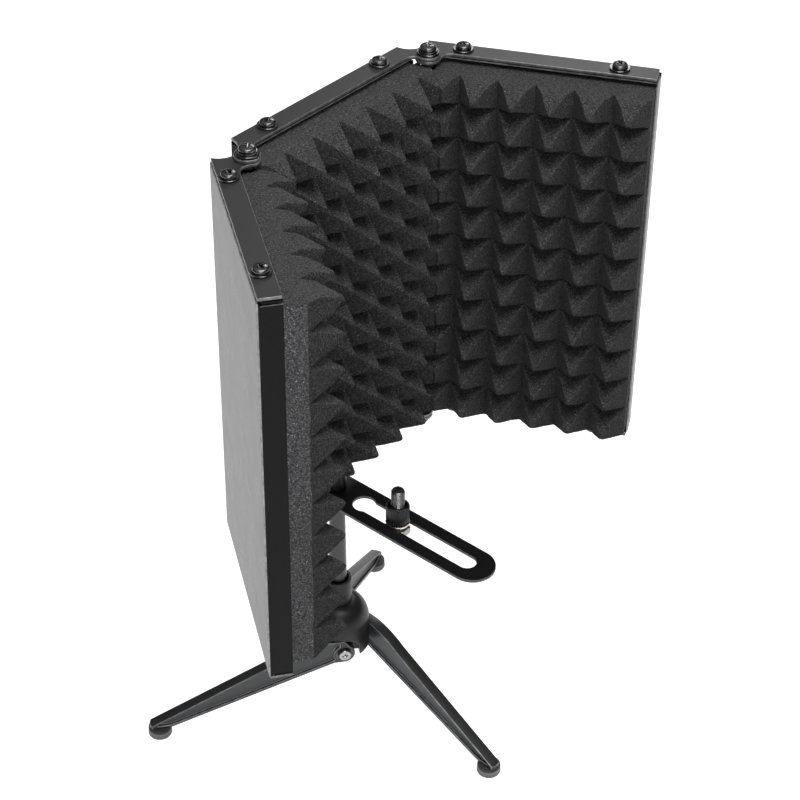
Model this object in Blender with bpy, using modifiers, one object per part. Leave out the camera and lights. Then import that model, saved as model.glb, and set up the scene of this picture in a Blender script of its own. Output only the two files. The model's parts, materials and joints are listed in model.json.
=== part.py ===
"""Tabletop microphone isolation shield: three foam-lined steel trays hinged edge to edge,
carried by a short post on a folding tripod, with a slotted arm for a microphone mount.

World frame: +Z up, metres, the shield opens towards -Y, and the origin is the centre of the
object's footprint at table height. Run it with blender --background --python part.py.
"""

import math

import bmesh
import bpy
from mathutils import Matrix, Vector

MM = 0.001
GAP = 0.3 * MM                       # clearance kept between neighbouring pieces

# Trays and foam
PANEL_WIDTH = 152 * MM
PANEL_HEIGHT = 280 * MM              # the two wings; the back tray laps over them at both ends
PANEL_DEPTH = 15 * MM
SHEET = 1.0 * MM
BEND_RADIUS = 0.9 * MM
FOAM_PITCH = 24.64 * MM
FOAM_ROWS = 11
FOAM_COLUMNS = 7
FOAM_VALLEY = 28.6 * MM              # depth of the valleys, from the tray's outer face
FOAM_TIP = 51.9 * MM                 # depth of the blunt tips
FOAM_TIP_WIDTH = 5.0 * MM
FOAM_LOWEST = 8.7 * MM               # lower edge of the foam above the wings' lower edge
FOAM_TOP_CLEAR = 4.5 * MM            # from the tray's top down to the foam
BACK_FOAM_SHIFT = 1.6 * MM           # the back sheet was trimmed off centre

# Hinge strips
STRIP = 2.3 * MM
STRIP_HOLE_HINGE = 24.7 * MM         # screw hole from the hinge end of a strip
STRIP_HOLE_FREE = 26.0 * MM          # screw hole from the free end of a wing's strip
EAR_RADIUS = 8.3 * MM
EAR_OUTER_FILLET = 13.0 * MM
EAR_INNER_FILLET = 7.0 * MM
LUG_RADIUS = 9.0 * MM
BACK_PIVOT_OUT = 7.1 * MM            # hinge axis beyond the end of the back tray
BACK_PIVOT_IN = 6.0 * MM             # hinge axis beyond the back tray's rim, inwards
WING_PIVOT_IN_END = 4.7 * MM         # hinge axis short of the wing tray's end
WING_PIVOT_IN = 7.1 * MM             # hinge axis beyond the wing tray's rim, inwards
LEFT_FOLD = math.radians(54.1)
RIGHT_FOLD = math.radians(62.9)
LAP = STRIP + GAP                    # the back tray is this much longer than a wing at each end

# Fasteners (M5)
SHANK_RADIUS = 2.4 * MM
HOLE_RADIUS = 2.75 * MM
HEAD_RADIUS = 5.0 * MM
HEAD_HEIGHT = 3.1 * MM
WASHER_RADIUS = 6.6 * MM
WASHER_THICKNESS = 1.1 * MM
PIVOT_WASHER_RADIUS = 7.3 * MM
PIVOT_WASHER_THICKNESS = 2.4 * MM
PIVOT_HEAD_RADIUS = 5.4 * MM
NUT_RADIUS = 4.6 * MM
NUT_HEIGHT = 4.0 * MM
CLINCH_RADIUS = 4.2 * MM
CLINCH_HEIGHT = 2.8 * MM

# Post, arm and microphone stud
WING_BASE = 218.4 * MM               # lower edge of the wings above the table
POST_Y = -14.7 * MM
ARM_TOP = 192.4 * MM
ARM_THICKNESS = 2.3 * MM
ARM_WIDTH = 32 * MM
ARM_REAR = 17 * MM                   # arm behind the post's axis
ARM_REACH = 138 * MM                 # arm in front of the post's axis
SLOT_NEAR = 25.5 * MM                # slot's wide end in front of the post's axis
SLOT_FAR = 124 * MM
SLOT_HALF_WIDTH = 6.5 * MM
SLOT_END_RADIUS = 8.2 * MM
SPACER_RADIUS = 6.6 * MM
POST_TOP_RADIUS = 5.4 * MM
POST_FOOT_RADIUS = 6.5 * MM
STUD_REACH = 56 * MM                 # microphone stud in front of the post's axis
STUD_SHANK_RADIUS = 4.75 * MM
KNURL_RADIUS = 8.2 * MM
KNURL_HEIGHT = 14.0 * MM

# Tripod
SOCKET_TOP = 110 * MM
SOCKET_RADIUS = 10.0 * MM
SOCKET_BORE = 7.6 * MM
HUB_TOP = 89 * MM
HUB_RADIUS = 22.8 * MM
HUB_DOME_BASE = 70 * MM
HUB_BOTTOM = 49 * MM
POST_BOTTOM = 76 * MM
LEG_ANGLES = (143.8, 265.3, 22.6)    # degrees from above; the leg hinges have a little side play
LEG_OFFSET = 18.5 * MM               # each leg runs beside the post's axis, not through it
LEG_THICKNESS = 8.6 * MM
LEG_PIVOT_HEIGHT = 54 * MM
LEG_BOSS_RADIUS = 7.8 * MM
LEG_LENGTH = 137.5 * MM              # from the pivot out to the foot's centre
FOOT_RADIUS = 8.6 * MM
FOOT_HEIGHT = 7.2 * MM
LEG_SHOULDER = 12.0 * MM             # top of the leg's root above its pivot
LEG_SHOULDER_REACH = 32 * MM         # where the shoulder ends and the straight taper begins
LEG_TIP = 3.6 * MM                   # thickness of the leg over the foot
LEG_SCREW_HEAD = 4.5 * MM

PIVOT_X = PANEL_WIDTH / 2 + BACK_PIVOT_OUT
PIVOT_Y = -(PANEL_DEPTH + BACK_PIVOT_IN)


# ---------------------------------------------------------------- scene helpers

def clear_scene():
    for item in list(bpy.data.objects):
        bpy.data.objects.remove(item, do_unlink=True)


def make_collection(name):
    collection = bpy.data.collections.new(name)
    bpy.context.scene.collection.children.link(collection)
    return collection


def make_material(name, colour, roughness, metallic):
    material = bpy.data.materials.new(name)
    material.use_nodes = True
    shader = material.node_tree.nodes["Principled BSDF"]
    shader.inputs["Base Color"].default_value = (*colour, 1.0)
    shader.inputs["Roughness"].default_value = roughness
    shader.inputs["Metallic"].default_value = metallic
    return material


def make_empty(name, location=(0, 0, 0), turn=0.0, parent=None):
    empty = bpy.data.objects.new(name, None)
    empty.location = location
    empty.rotation_euler = (0, 0, turn)
    empty.parent = parent
    PARTS.objects.link(empty)
    return empty


def add_part(name, data, look, parent, location=(0, 0, 0)):
    """One sub-part, with a material of its own."""
    part = bpy.data.objects.new(name, data)
    part.location = location
    part.parent = parent
    data.materials.append(make_material(name, *LOOKS[look]))
    PARTS.objects.link(part)
    return part


def add_cutter(name, data, parent, location=(0, 0, 0)):
    cutter = bpy.data.objects.new(name, data)
    cutter.location = location
    cutter.parent = parent
    cutter.hide_render = True
    cutter.display_type = "WIRE"
    CUTTERS.objects.link(cutter)
    return cutter


def combine(part, tool, operation):
    change = part.modifiers.new(tool.name, "BOOLEAN")
    change.operation = operation
    change.solver = "EXACT"
    change.object = tool


def mesh_from(build, name):
    """A mesh filled by build(bm)."""
    bm = bmesh.new()
    build(bm)
    bmesh.ops.recalc_face_normals(bm, faces=bm.faces)
    mesh = bpy.data.meshes.new(name)
    bm.to_mesh(mesh)
    bm.free()
    return mesh


# ---------------------------------------------------------------- shape helpers

def box_mesh(name, low, high):
    low, high = Vector(low), Vector(high)

    def build(bm):
        size = Matrix.Diagonal((*(high - low), 1))
        bmesh.ops.create_cube(bm, size=1, matrix=Matrix.Translation((low + high) / 2) @ size)

    return mesh_from(build, name)


def rod_mesh(name, radius, low, high, sides=12, axis="Z", phase=0.0):
    """A cylinder or prism along one axis, between two positions on it."""
    turn = {"Z": Matrix(), "Y": Matrix.Rotation(math.radians(90), 4, "X")}[axis]
    middle = Vector((0, 0, (low + high) / 2)) if axis == "Z" else Vector((0, (low + high) / 2, 0))
    place = Matrix.Translation(middle) @ turn @ Matrix.Rotation(phase, 4, "Z")

    def build(bm):
        bmesh.ops.create_cone(bm, cap_ends=True, segments=sides, radius1=radius, radius2=radius,
                              depth=high - low, matrix=place)

    return mesh_from(build, name)


def prism_mesh(name, outline, low, high):
    """An outline in the XZ plane, extruded along Y."""

    def build(bm):
        face = bm.faces.new([bm.verts.new((x, low, z)) for x, z in outline])
        moved = bmesh.ops.extrude_face_region(bm, geom=[face])["geom"]
        far_side = [item for item in moved if isinstance(item, bmesh.types.BMVert)]
        bmesh.ops.translate(bm, vec=(0, high - low, 0), verts=far_side)

    return mesh_from(build, name)


def turned(name, profile, look, parent, location=(0, 0, 0), steps=12, ring=False):
    """A profile of (radius, height), running down its outer side, turned about Z."""
    mesh = bpy.data.meshes.new(name)
    count = len(profile)
    edges = [(i, i + 1) for i in range(count - 1)] + ([(count - 1, 0)] if ring else [])
    mesh.from_pydata([(radius, 0, height) for radius, height in profile], edges, [])
    part = add_part(name, mesh, look, parent, location)
    screw = part.modifiers.new("turn", "SCREW")
    screw.steps = steps
    screw.render_steps = steps
    screw.use_merge_vertices = True
    screw.merge_threshold = 0.00001
    return part


def arc(centre, radius, start, end, count):
    """Points on an arc, angles in radians, both ends included."""
    return [(centre[0] + radius * math.cos(start + (end - start) * i / count),
             centre[1] + radius * math.sin(start + (end - start) * i / count))
            for i in range(count + 1)]


def circle(centre, radius, count=12):
    return arc(centre, radius, 0, math.tau, count)[:-1]


def angle_from(centre, point):
    return math.atan2(point[1] - centre[1], point[0] - centre[0])


def flat_piece(name, loops, thickness, look, parent, location=(0, 0, 0)):
    """A plate: closed outlines in the XY plane, the first outside and the others holes."""
    curve = bpy.data.curves.new(name, "CURVE")
    curve.dimensions = "2D"
    curve.fill_mode = "BOTH"
    curve.extrude = thickness / 2
    for points in loops:
        spline = curve.splines.new("POLY")
        spline.points.add(len(points) - 1)
        for slot, (x, y) in zip(spline.points, points):
            slot.co = (x, y, 0, 1)
        spline.use_cyclic_u = True
    return add_part(name, curve, look, parent, location)


# ---------------------------------------------------------------- trays and foam

def tray(name, parent, left, right, low, high, screw_places):
    """A folded sheet-steel tray: open on its -Y side, with clinch nuts under its flanges."""

    def build(bm):
        size = Matrix.Diagonal((right - left, PANEL_DEPTH, high - low, 1))
        middle = Vector(((left + right) / 2, -PANEL_DEPTH / 2, (low + high) / 2))
        bmesh.ops.create_cube(bm, size=1, matrix=Matrix.Translation(middle) @ size)
        inner = [face for face in bm.faces if face.normal.y < -0.9]
        bmesh.ops.delete(bm, geom=inner, context="FACES_ONLY")

    part = add_part(name, mesh_from(build, name), "steel", parent)
    bend = part.modifiers.new("bends", "BEVEL")
    bend.width = BEND_RADIUS
    bend.segments = 2
    shell = part.modifiers.new("sheet", "SOLIDIFY")
    shell.thickness = SHEET
    shell.offset = -1
    shell.use_even_offset = True
    for index, x in enumerate(screw_places):
        for end, edge, inward in (("top", high, -1), ("bottom", low, 1)):
            label = f"{name}_{end}_{index}"
            place = (x, -PANEL_DEPTH / 2, edge)
            start = inward * SHEET * 0.6
            finish = inward * (SHEET + CLINCH_HEIGHT)
            low_end, high_end = sorted((start, finish))
            nut = rod_mesh(label + "_clinch", CLINCH_RADIUS, low_end, high_end, 6)
            combine(part, add_cutter(label + "_clinch", nut, parent, place), "UNION")
            reach = SHEET + CLINCH_HEIGHT + 1 * MM
            bore = rod_mesh(label + "_bore", HOLE_RADIUS, -reach, reach, 12)
            combine(part, add_cutter(label + "_bore", bore, parent, place), "DIFFERENCE")
    return part


def foam(name, parent, grid_left, left, right, high, mitres, side=1):
    """Pyramid foam on a slab. mitres are (point, normal) planes; what lies beyond is cut away."""
    back = SHEET + GAP
    width = FOAM_COLUMNS * FOAM_PITCH
    height = FOAM_ROWS * FOAM_PITCH

    def build(bm):
        bmesh.ops.create_grid(bm, x_segments=FOAM_COLUMNS, y_segments=FOAM_ROWS, size=0.5)
        bmesh.ops.scale(bm, vec=(width, height, 1), verts=bm.verts)
        cells = list(bm.faces)
        bmesh.ops.inset_individual(bm, faces=cells, thickness=(FOAM_PITCH - FOAM_TIP_WIDTH) / 2,
                                   depth=FOAM_TIP - FOAM_VALLEY)
        rim = [edge for edge in bm.edges if edge.is_boundary]
        skirt = bmesh.ops.extrude_edge_only(bm, edges=rim)["geom"]
        lowered = [item for item in skirt if isinstance(item, bmesh.types.BMVert)]
        bmesh.ops.translate(bm, vec=(0, 0, back - FOAM_VALLEY), verts=lowered)
        fill_open(bm)
        bmesh.ops.rotate(bm, cent=(0, 0, 0), matrix=Matrix.Rotation(math.radians(90), 3, "X"),
                         verts=bm.verts)
        middle = Vector((grid_left + width / 2, -FOAM_VALLEY, FOAM_LOWEST + height / 2))
        bmesh.ops.translate(bm, vec=middle, verts=bm.verts)
        planes = [((left, 0, 0), (-1, 0, 0)), ((right, 0, 0), (1, 0, 0)),
                  ((0, 0, high), (0, 0, 1))]
        for point, normal in planes + mitres:
            everything = bm.verts[:] + bm.edges[:] + bm.faces[:]
            bmesh.ops.bisect_plane(bm, geom=everything, plane_co=point, plane_no=normal,
                                   clear_outer=True)
            fill_open(bm)
        if side < 0:
            bmesh.ops.scale(bm, vec=(-1, 1, 1), verts=bm.verts)

    return add_part(name, mesh_from(build, name), "foam", parent)


def fill_open(bm):
    bmesh.ops.holes_fill(bm, edges=[edge for edge in bm.edges if edge.is_boundary], sides=0)


def mitre(pivot, half_fold, outward):
    """The plane through the hinge axis on which two foams meet when the wing is folded."""
    normal = Vector((outward * math.cos(half_fold), -math.sin(half_fold), 0))
    return (Vector((*pivot, 0)) - normal * (GAP / 2 + 0.05 * MM), normal)


# ---------------------------------------------------------------- hinge strips

def ear(pivot, corner, rim_y):
    """Outline of a strip's end: from its outer corner round the ear to its inner edge.

    The strip lies on the +X side of the corner with its inner edge on y = rim_y.
    """
    spread = EAR_RADIUS + EAR_OUTER_FILLET
    offset = (corner[0] - pivot[0], corner[1] - pivot[1])
    distance = math.hypot(*offset)
    along = (distance ** 2 + spread ** 2 - EAR_OUTER_FILLET ** 2) / (2 * distance)
    across = math.sqrt(spread ** 2 - along ** 2)
    unit = (offset[0] / distance, offset[1] / distance)
    outer = (pivot[0] + unit[0] * along - unit[1] * across,
             pivot[1] + unit[1] * along + unit[0] * across)
    drop = rim_y - EAR_INNER_FILLET - pivot[1]
    run = math.sqrt((EAR_RADIUS + EAR_INNER_FILLET) ** 2 - drop ** 2)
    inner = (pivot[0] + run, rim_y - EAR_INNER_FILLET)
    start = angle_from(outer, corner)
    touch = angle_from(outer, pivot)
    points = arc(outer, EAR_OUTER_FILLET, start, touch, 5)
    first = angle_from(pivot, outer)
    last = angle_from(pivot, inner)
    points += arc(pivot, EAR_RADIUS, first, last + (math.tau if last < first else 0), 10)[1:]
    begin = angle_from(inner, pivot) % math.tau
    points += arc(inner, EAR_INNER_FILLET, begin, math.radians(90), 4)[1:]
    return points


def mirrored(points):
    return [(-x, y) for x, y in points]


def strip_pair(side_name, parent, loops, low, high, side=1, bottom_loops=None):
    """The same flat strip above the tray's top and below its bottom."""
    for end, z in (("top", high + GAP + STRIP / 2), ("bottom", low - GAP - STRIP / 2)):
        shape = bottom_loops if end == "bottom" and bottom_loops else loops
        shape = [mirrored(points) for points in shape] if side < 0 else shape
        flat_piece(f"{side_name}_{end}_strip", shape, STRIP, "steel_strip", parent, (0, 0, z))


def wing_strip_loops():
    """A wing's strip, with the hinge axis at the origin."""
    rim = WING_PIVOT_IN
    outer = WING_PIVOT_IN + PANEL_DEPTH
    near = -WING_PIVOT_IN_END
    far = near + PANEL_WIDTH
    outline = ear((0, 0), (near, outer), rim) + [(far, rim), (far, outer)]
    middle = (rim + outer) / 2
    holes = [circle((near + STRIP_HOLE_HINGE, middle), HOLE_RADIUS),
             circle((far - STRIP_HOLE_FREE, middle), HOLE_RADIUS),
             circle((0, 0), HOLE_RADIUS)]
    return [outline] + holes


def back_strip_loops(with_lug):
    half = PANEL_WIDTH / 2
    left_end = ear((-PIVOT_X, PIVOT_Y), (-half, 0), -PANEL_DEPTH)
    right_end = mirrored(reversed(left_end))
    outline = left_end + (lug_outline() if with_lug else []) + right_end
    hole_x = half - STRIP_HOLE_HINGE
    holes = [circle((hole_x, -PANEL_DEPTH / 2), HOLE_RADIUS),
             circle((-hole_x, -PANEL_DEPTH / 2), HOLE_RADIUS),
             circle((PIVOT_X, PIVOT_Y), HOLE_RADIUS), circle((-PIVOT_X, PIVOT_Y), HOLE_RADIUS)]
    if with_lug:
        holes.append(circle((0, POST_Y), HOLE_RADIUS + GAP))
    return [outline] + holes


def lug_outline():
    """The round lug at the middle of the back's lower strip, where the post is bolted."""
    half_angle = math.acos((PANEL_DEPTH + POST_Y) / LUG_RADIUS)
    return arc((0, POST_Y), LUG_RADIUS, -math.radians(90) - half_angle,
               -math.radians(90) + half_angle, 10)


# ---------------------------------------------------------------- fasteners

def screw_profile(head_radius, washer_radius, washer, length):
    """A pan-head screw with its washer; z = 0 is the face that the washer bears on."""
    top = washer + HEAD_HEIGHT
    return [(0, top), (head_radius * 0.55, top - 0.3 * MM), (head_radius, washer + 0.9 * MM),
            (head_radius, washer), (washer_radius, washer), (washer_radius, 0),
            (SHANK_RADIUS, 0), (SHANK_RADIUS, -length), (0, -length)]


def flipped(profile):
    return [(radius, -height) for radius, height in reversed(profile)]


def strip_screws(side_name, parent, places, y, low, high):
    length = STRIP + SHEET + CLINCH_HEIGHT
    profile = screw_profile(HEAD_RADIUS, WASHER_RADIUS, WASHER_THICKNESS, length)
    for index, x in enumerate(places, start=1):
        above = (x, y, high + 2 * GAP + STRIP)
        below = (x, y, low - 2 * GAP - STRIP)
        turned(f"{side_name}_top_screw_{index}", profile, "screw", parent, above)
        turned(f"{side_name}_bottom_screw_{index}", flipped(profile), "screw", parent, below)


def hinge_hardware(side_name, x, low, high):
    """Pivot screws and nuts of one hinge, clamped through the two pairs of ears."""
    grip = 2 * STRIP + 3 * GAP
    length = grip + GAP + NUT_HEIGHT
    profile = screw_profile(PIVOT_HEAD_RADIUS, PIVOT_WASHER_RADIUS, PIVOT_WASHER_THICKNESS,
                            length)
    above = high + 2 * GAP + STRIP
    below = low - 2 * GAP - STRIP
    for end, face, shape, nut_low in (("top", above, profile, above - grip - NUT_HEIGHT),
                                      ("bottom", below, flipped(profile), below + grip)):
        turned(f"{side_name}_hinge_screw_{end}", shape, "pivot", UPPER, (x, PIVOT_Y, face))
        hex_nut(f"{side_name}_hinge_nut_{end}", NUT_RADIUS, HOLE_RADIUS, nut_low, NUT_HEIGHT,
                UPPER, (x, PIVOT_Y))


def hex_nut(name, radius, bore, low, height, parent, place):
    loops = [circle((0, 0), radius, 6), circle((0, 0), bore, 12)]
    return flat_piece(name, loops, height, "nut", parent, (*place, low + height / 2))


# ---------------------------------------------------------------- assemblies

def back_panel():
    half = PANEL_WIDTH / 2
    low, high = WING_BASE - LAP, WING_BASE + PANEL_HEIGHT + LAP
    places = [STRIP_HOLE_HINGE - half, half - STRIP_HOLE_HINGE]
    tray("back_tray", UPPER, -half, half, low, high, places)
    frame = make_empty("back_foam_frame", (0, 0, WING_BASE), 0, UPPER)
    inset = SHEET + GAP
    planes = [mitre((-PIVOT_X, PIVOT_Y), LEFT_FOLD / 2, -1),
              mitre((PIVOT_X, PIVOT_Y), RIGHT_FOLD / 2, 1)]
    foam("back_foam", frame, BACK_FOAM_SHIFT - FOAM_COLUMNS * FOAM_PITCH / 2, inset - half,
         half - inset, PANEL_HEIGHT + LAP - FOAM_TOP_CLEAR, planes)
    strip_pair("back", UPPER, back_strip_loops(False), low, high, 1, back_strip_loops(True))
    strip_screws("back", UPPER, places, -PANEL_DEPTH / 2, low, high)
    for side_name, x in (("left", -PIVOT_X), ("right", PIVOT_X)):
        hinge_hardware(side_name, x, low, high)


def wing(side_name, side, fold):
    """One wing, built flat from its hinge axis outwards and then folded in."""
    place = (side * PIVOT_X, PIVOT_Y, WING_BASE)
    axis = make_empty(f"{side_name}_hinge_axis", place, -side * fold, UPPER)
    outer_face = PANEL_DEPTH + WING_PIVOT_IN
    tray_frame = make_empty(f"{side_name}_tray_frame", (0, outer_face, 0), 0, axis)
    near = -WING_PIVOT_IN_END
    far = near + PANEL_WIDTH
    places = [near + STRIP_HOLE_HINGE, far - STRIP_HOLE_FREE]
    ends = sorted((side * near, side * far))
    tray(f"{side_name}_tray", tray_frame, *ends, 0, PANEL_HEIGHT, [side * x for x in places])
    inset = SHEET + GAP
    plane = mitre((0, -outer_face), fold / 2, -1)
    foam(f"{side_name}_foam", tray_frame, far - inset - FOAM_COLUMNS * FOAM_PITCH, near + inset,
         far - inset, PANEL_HEIGHT - FOAM_TOP_CLEAR, [plane], side)
    strip_pair(side_name, axis, wing_strip_loops(), 0, PANEL_HEIGHT, side)
    middle = WING_PIVOT_IN + PANEL_DEPTH / 2
    strip_screws(side_name, axis, [side * x for x in places], middle, 0, PANEL_HEIGHT)


def arm_and_post():
    """The slotted arm, the spacer over it and the post under it, on the post's axis."""
    axis = make_empty("post_axis", (0, POST_Y, 0), 0, UPPER)
    half = ARM_WIDTH / 2
    outline = arc((0, half - ARM_REACH), half, math.radians(180), math.radians(360), 12)
    corner = 5 * MM
    outline += arc((half - corner, ARM_REAR - corner), corner, 0, math.radians(90), 3)
    outline += arc((corner - half, ARM_REAR - corner), corner, math.radians(90),
                   math.radians(180), 3)
    meet = math.asin(SLOT_HALF_WIDTH / SLOT_END_RADIUS)
    slot = arc((0, -SLOT_NEAR), SLOT_END_RADIUS, meet - math.radians(90),
               math.radians(270) - meet, 12)
    slot += arc((0, SLOT_HALF_WIDTH - SLOT_FAR), SLOT_HALF_WIDTH, math.radians(180),
                math.radians(360), 8)
    loops = [outline, circle((0, 0), HOLE_RADIUS + GAP), slot]
    flat_piece("arm_plate", loops, ARM_THICKNESS, "arm", axis, (0, 0, ARM_TOP - ARM_THICKNESS / 2))

    spacer_low = ARM_TOP + GAP
    spacer_high = WING_BASE - LAP - GAP - STRIP - GAP
    bore = HOLE_RADIUS + GAP
    ring = [(bore, spacer_high), (SPACER_RADIUS, spacer_high), (SPACER_RADIUS, spacer_low),
            (bore, spacer_low)]
    turned("spacer_sleeve", ring, "black", axis, steps=20, ring=True)

    post_high = ARM_TOP - ARM_THICKNESS - GAP
    bolt_top = WING_BASE - LAP - GAP - GAP
    profile = [(0, bolt_top), (HOLE_RADIUS, bolt_top), (HOLE_RADIUS, post_high),
               (POST_TOP_RADIUS, post_high), (POST_FOOT_RADIUS, SOCKET_TOP),
               (POST_FOOT_RADIUS, POST_BOTTOM), (0, POST_BOTTOM)]
    turned("post", profile, "post", axis, steps=20)
    return axis


def microphone_stud(axis):
    """The threaded stud for a shock mount, clamped through the arm's slot."""
    frame = make_empty("stud_axis", (0, -STUD_REACH, ARM_TOP), 0, axis)
    washer, washer_radius, thread = 1.6 * MM, 8.4 * MM, 29 * MM
    knurl_low = 2 * GAP + washer
    knurl_high = knurl_low + KNURL_HEIGHT
    under = -ARM_THICKNESS
    nut = 5 * MM
    tip = under - 2 * GAP - nut - 2.5 * MM
    inner = STUD_SHANK_RADIUS
    profile = [(0, thread), (inner - 0.8 * MM, thread), (inner, thread - 0.8 * MM), (inner, tip), (0, tip)]
    turned("mic_stud", profile, "thread", frame, steps=20)
    ring = [(inner + GAP, GAP + washer), (washer_radius, GAP + washer), (washer_radius, GAP),
            (inner + GAP, GAP)]
    turned("stud_washer", ring, "brass", frame, steps=20, ring=True)
    edge = 0.6 * MM
    ring = [(inner + GAP, knurl_high), (KNURL_RADIUS - edge, knurl_high),
            (KNURL_RADIUS, knurl_high - edge), (KNURL_RADIUS, knurl_low + edge),
            (KNURL_RADIUS - edge, knurl_low), (inner + GAP, knurl_low)]
    turned("knurled_nut", ring, "black", frame, steps=20, ring=True)
    hex_nut("stud_lock_nut", 9.0 * MM, inner + GAP, under - GAP - nut, nut, frame, (0, 0))


def channel_outline():
    """Side view of the space that a leg's root needs in the hub, open below and outwards."""
    side = LEG_BOSS_RADIUS + 4.0 * MM
    roof = LEG_SHOULDER + 0.8 * MM
    round_back = arc((0, 0), side, math.radians(180), math.radians(125), 4)
    return ([(-side, -40 * MM)] + round_back
            + [(round_back[-1][0], roof), (40 * MM, roof), (40 * MM, -40 * MM)])


def hub(axis):
    """The bell-shaped tripod hub: a solid dome with a bore and three open leg channels."""
    rise = HUB_TOP - HUB_DOME_BASE
    spread = HUB_RADIUS - SOCKET_RADIUS
    dome = [(SOCKET_RADIUS + spread * math.sin(t), HUB_DOME_BASE + rise * math.cos(t))
            for t in (math.radians(15 * i) for i in range(7))]
    bore = SOCKET_BORE
    floor = POST_BOTTOM - GAP
    profile = [(0, floor), (bore, floor), (bore, HUB_TOP)] + dome
    profile += [(HUB_RADIUS + 0.4 * MM, HUB_BOTTOM), (0, HUB_BOTTOM)]
    part = turned("tripod_hub", profile, "casting", axis, steps=36)
    near = LEG_OFFSET - LEG_THICKNESS / 2 - GAP
    far = HUB_RADIUS + 8 * MM
    for frame in LEG_FRAMES:
        label = f"{frame.name}_channel"
        channel = prism_mesh(label, channel_outline(), near - LEG_OFFSET, far)
        combine(part, add_cutter(label, channel, frame), "DIFFERENCE")
        hole = rod_mesh(label, HOLE_RADIUS, 4 * MM - LEG_OFFSET, far, 12, "Y")
        combine(part, add_cutter(label + "_bore", hole, frame), "DIFFERENCE")
    ring = [(SOCKET_BORE, SOCKET_TOP), (SOCKET_RADIUS, SOCKET_TOP), (SOCKET_RADIUS, HUB_TOP + GAP),
            (SOCKET_BORE, HUB_TOP + GAP)]
    turned("socket_sleeve", ring, "casting", axis, steps=28, ring=True)


def leg_outline():
    """Side view of a leg from its pivot: a boss, a deep shoulder and a long taper to the foot."""
    foot_top = FOOT_HEIGHT + GAP - LEG_PIVOT_HEIGHT
    end = LEG_LENGTH + FOOT_RADIUS - 1 * MM
    landing = LEG_LENGTH - FOOT_RADIUS * 0.9
    heel = -LEG_BOSS_RADIUS * 0.95
    boss = arc((0, 0), LEG_BOSS_RADIUS, math.radians(125), math.radians(262), 10)
    shoulder = [(LEG_SHOULDER_REACH, LEG_SHOULDER * 0.76), (LEG_SHOULDER_REACH * 0.8, LEG_SHOULDER * 0.93),
                (LEG_SHOULDER_REACH * 0.55, LEG_SHOULDER), (0, LEG_SHOULDER)]
    underside = [(LEG_BOSS_RADIUS, heel), (landing, foot_top)]
    return boss + underside + [(end, foot_top), (end, foot_top + LEG_TIP)] + shoulder


def legs(axis):
    upright = Matrix.Rotation(math.radians(90), 4, "X")
    head = LEG_THICKNESS / 2 + GAP
    for number, frame in enumerate(LEG_FRAMES, start=1):
        loops = [leg_outline(), circle((0, 0), HOLE_RADIUS)]
        leg = flat_piece(f"leg_{number}", loops, LEG_THICKNESS, "casting", frame)
        leg.rotation_euler = upright.to_euler()
        edge = 0.8 * MM
        profile = [(0, FOOT_HEIGHT), (FOOT_RADIUS - edge, FOOT_HEIGHT),
                   (FOOT_RADIUS, FOOT_HEIGHT - edge), (FOOT_RADIUS, edge), (FOOT_RADIUS - edge, 0),
                   (0, 0)]
        place = (LEG_LENGTH, 0, -LEG_PIVOT_HEIGHT)
        turned(f"foot_{number}", profile, "rubber", frame, place, steps=20)
        end = 4.5 * MM - LEG_OFFSET
        crown = head + 1.6 * MM
        profile = [(0, crown), (LEG_SCREW_HEAD - 0.6 * MM, crown), (LEG_SCREW_HEAD, head + 1 * MM),
                   (LEG_SCREW_HEAD, head), (SHANK_RADIUS, head), (SHANK_RADIUS, end), (0, end)]
        screw = turned(f"leg_screw_{number}", profile, "screw", frame)
        screw.rotation_euler = (math.radians(-90), 0, 0)


def leg_frames(axis):
    """One empty on each leg's pivot: X out along the leg, Y along the pivot screw."""
    frames = []
    for number, angle in enumerate(LEG_ANGLES, start=1):
        turn = math.radians(angle)
        place = (-LEG_OFFSET * math.sin(turn), LEG_OFFSET * math.cos(turn), LEG_PIVOT_HEIGHT)
        frames.append(make_empty(f"leg_pivot_{number}", place, turn, axis))
    return frames


def centre_on_footprint(root):
    """Moves the whole object so that its box stands centred on the origin."""
    bpy.context.view_layer.update()
    graph = bpy.context.evaluated_depsgraph_get()
    corners = []
    for part in PARTS.objects:
        if part.type != "EMPTY":
            shape = part.evaluated_get(graph)
            mesh = shape.to_mesh()
            corners += [part.matrix_world @ vertex.co for vertex in mesh.vertices]
            shape.to_mesh_clear()
    low = [min(point[i] for point in corners) for i in range(3)]
    high = [max(point[i] for point in corners) for i in range(3)]
    root.location = (-(low[0] + high[0]) / 2, -(low[1] + high[1]) / 2, -low[2])


LOOKS = {
    "steel": ((0.030, 0.030, 0.032), 0.32, 0.0),
    "steel_strip": ((0.050, 0.050, 0.053), 0.42, 0.0),
    "arm": ((0.020, 0.020, 0.021), 0.45, 0.0),
    "foam": ((0.060, 0.060, 0.063), 0.95, 0.0),
    "screw": ((0.30, 0.30, 0.31), 0.28, 1.0),
    "pivot": ((0.30, 0.30, 0.31), 0.28, 1.0),
    "nut": ((0.10, 0.10, 0.10), 0.4, 1.0),
    "black": ((0.015, 0.015, 0.015), 0.4, 0.0),
    "post": ((0.55, 0.56, 0.58), 0.35, 1.0),
    "thread": ((0.25, 0.25, 0.26), 0.3, 1.0),
    "brass": ((0.80, 0.68, 0.42), 0.25, 1.0),
    "casting": ((0.13, 0.135, 0.14), 0.42, 0.0),
    "rubber": ((0.11, 0.11, 0.112), 0.7, 0.0),
}

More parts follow.
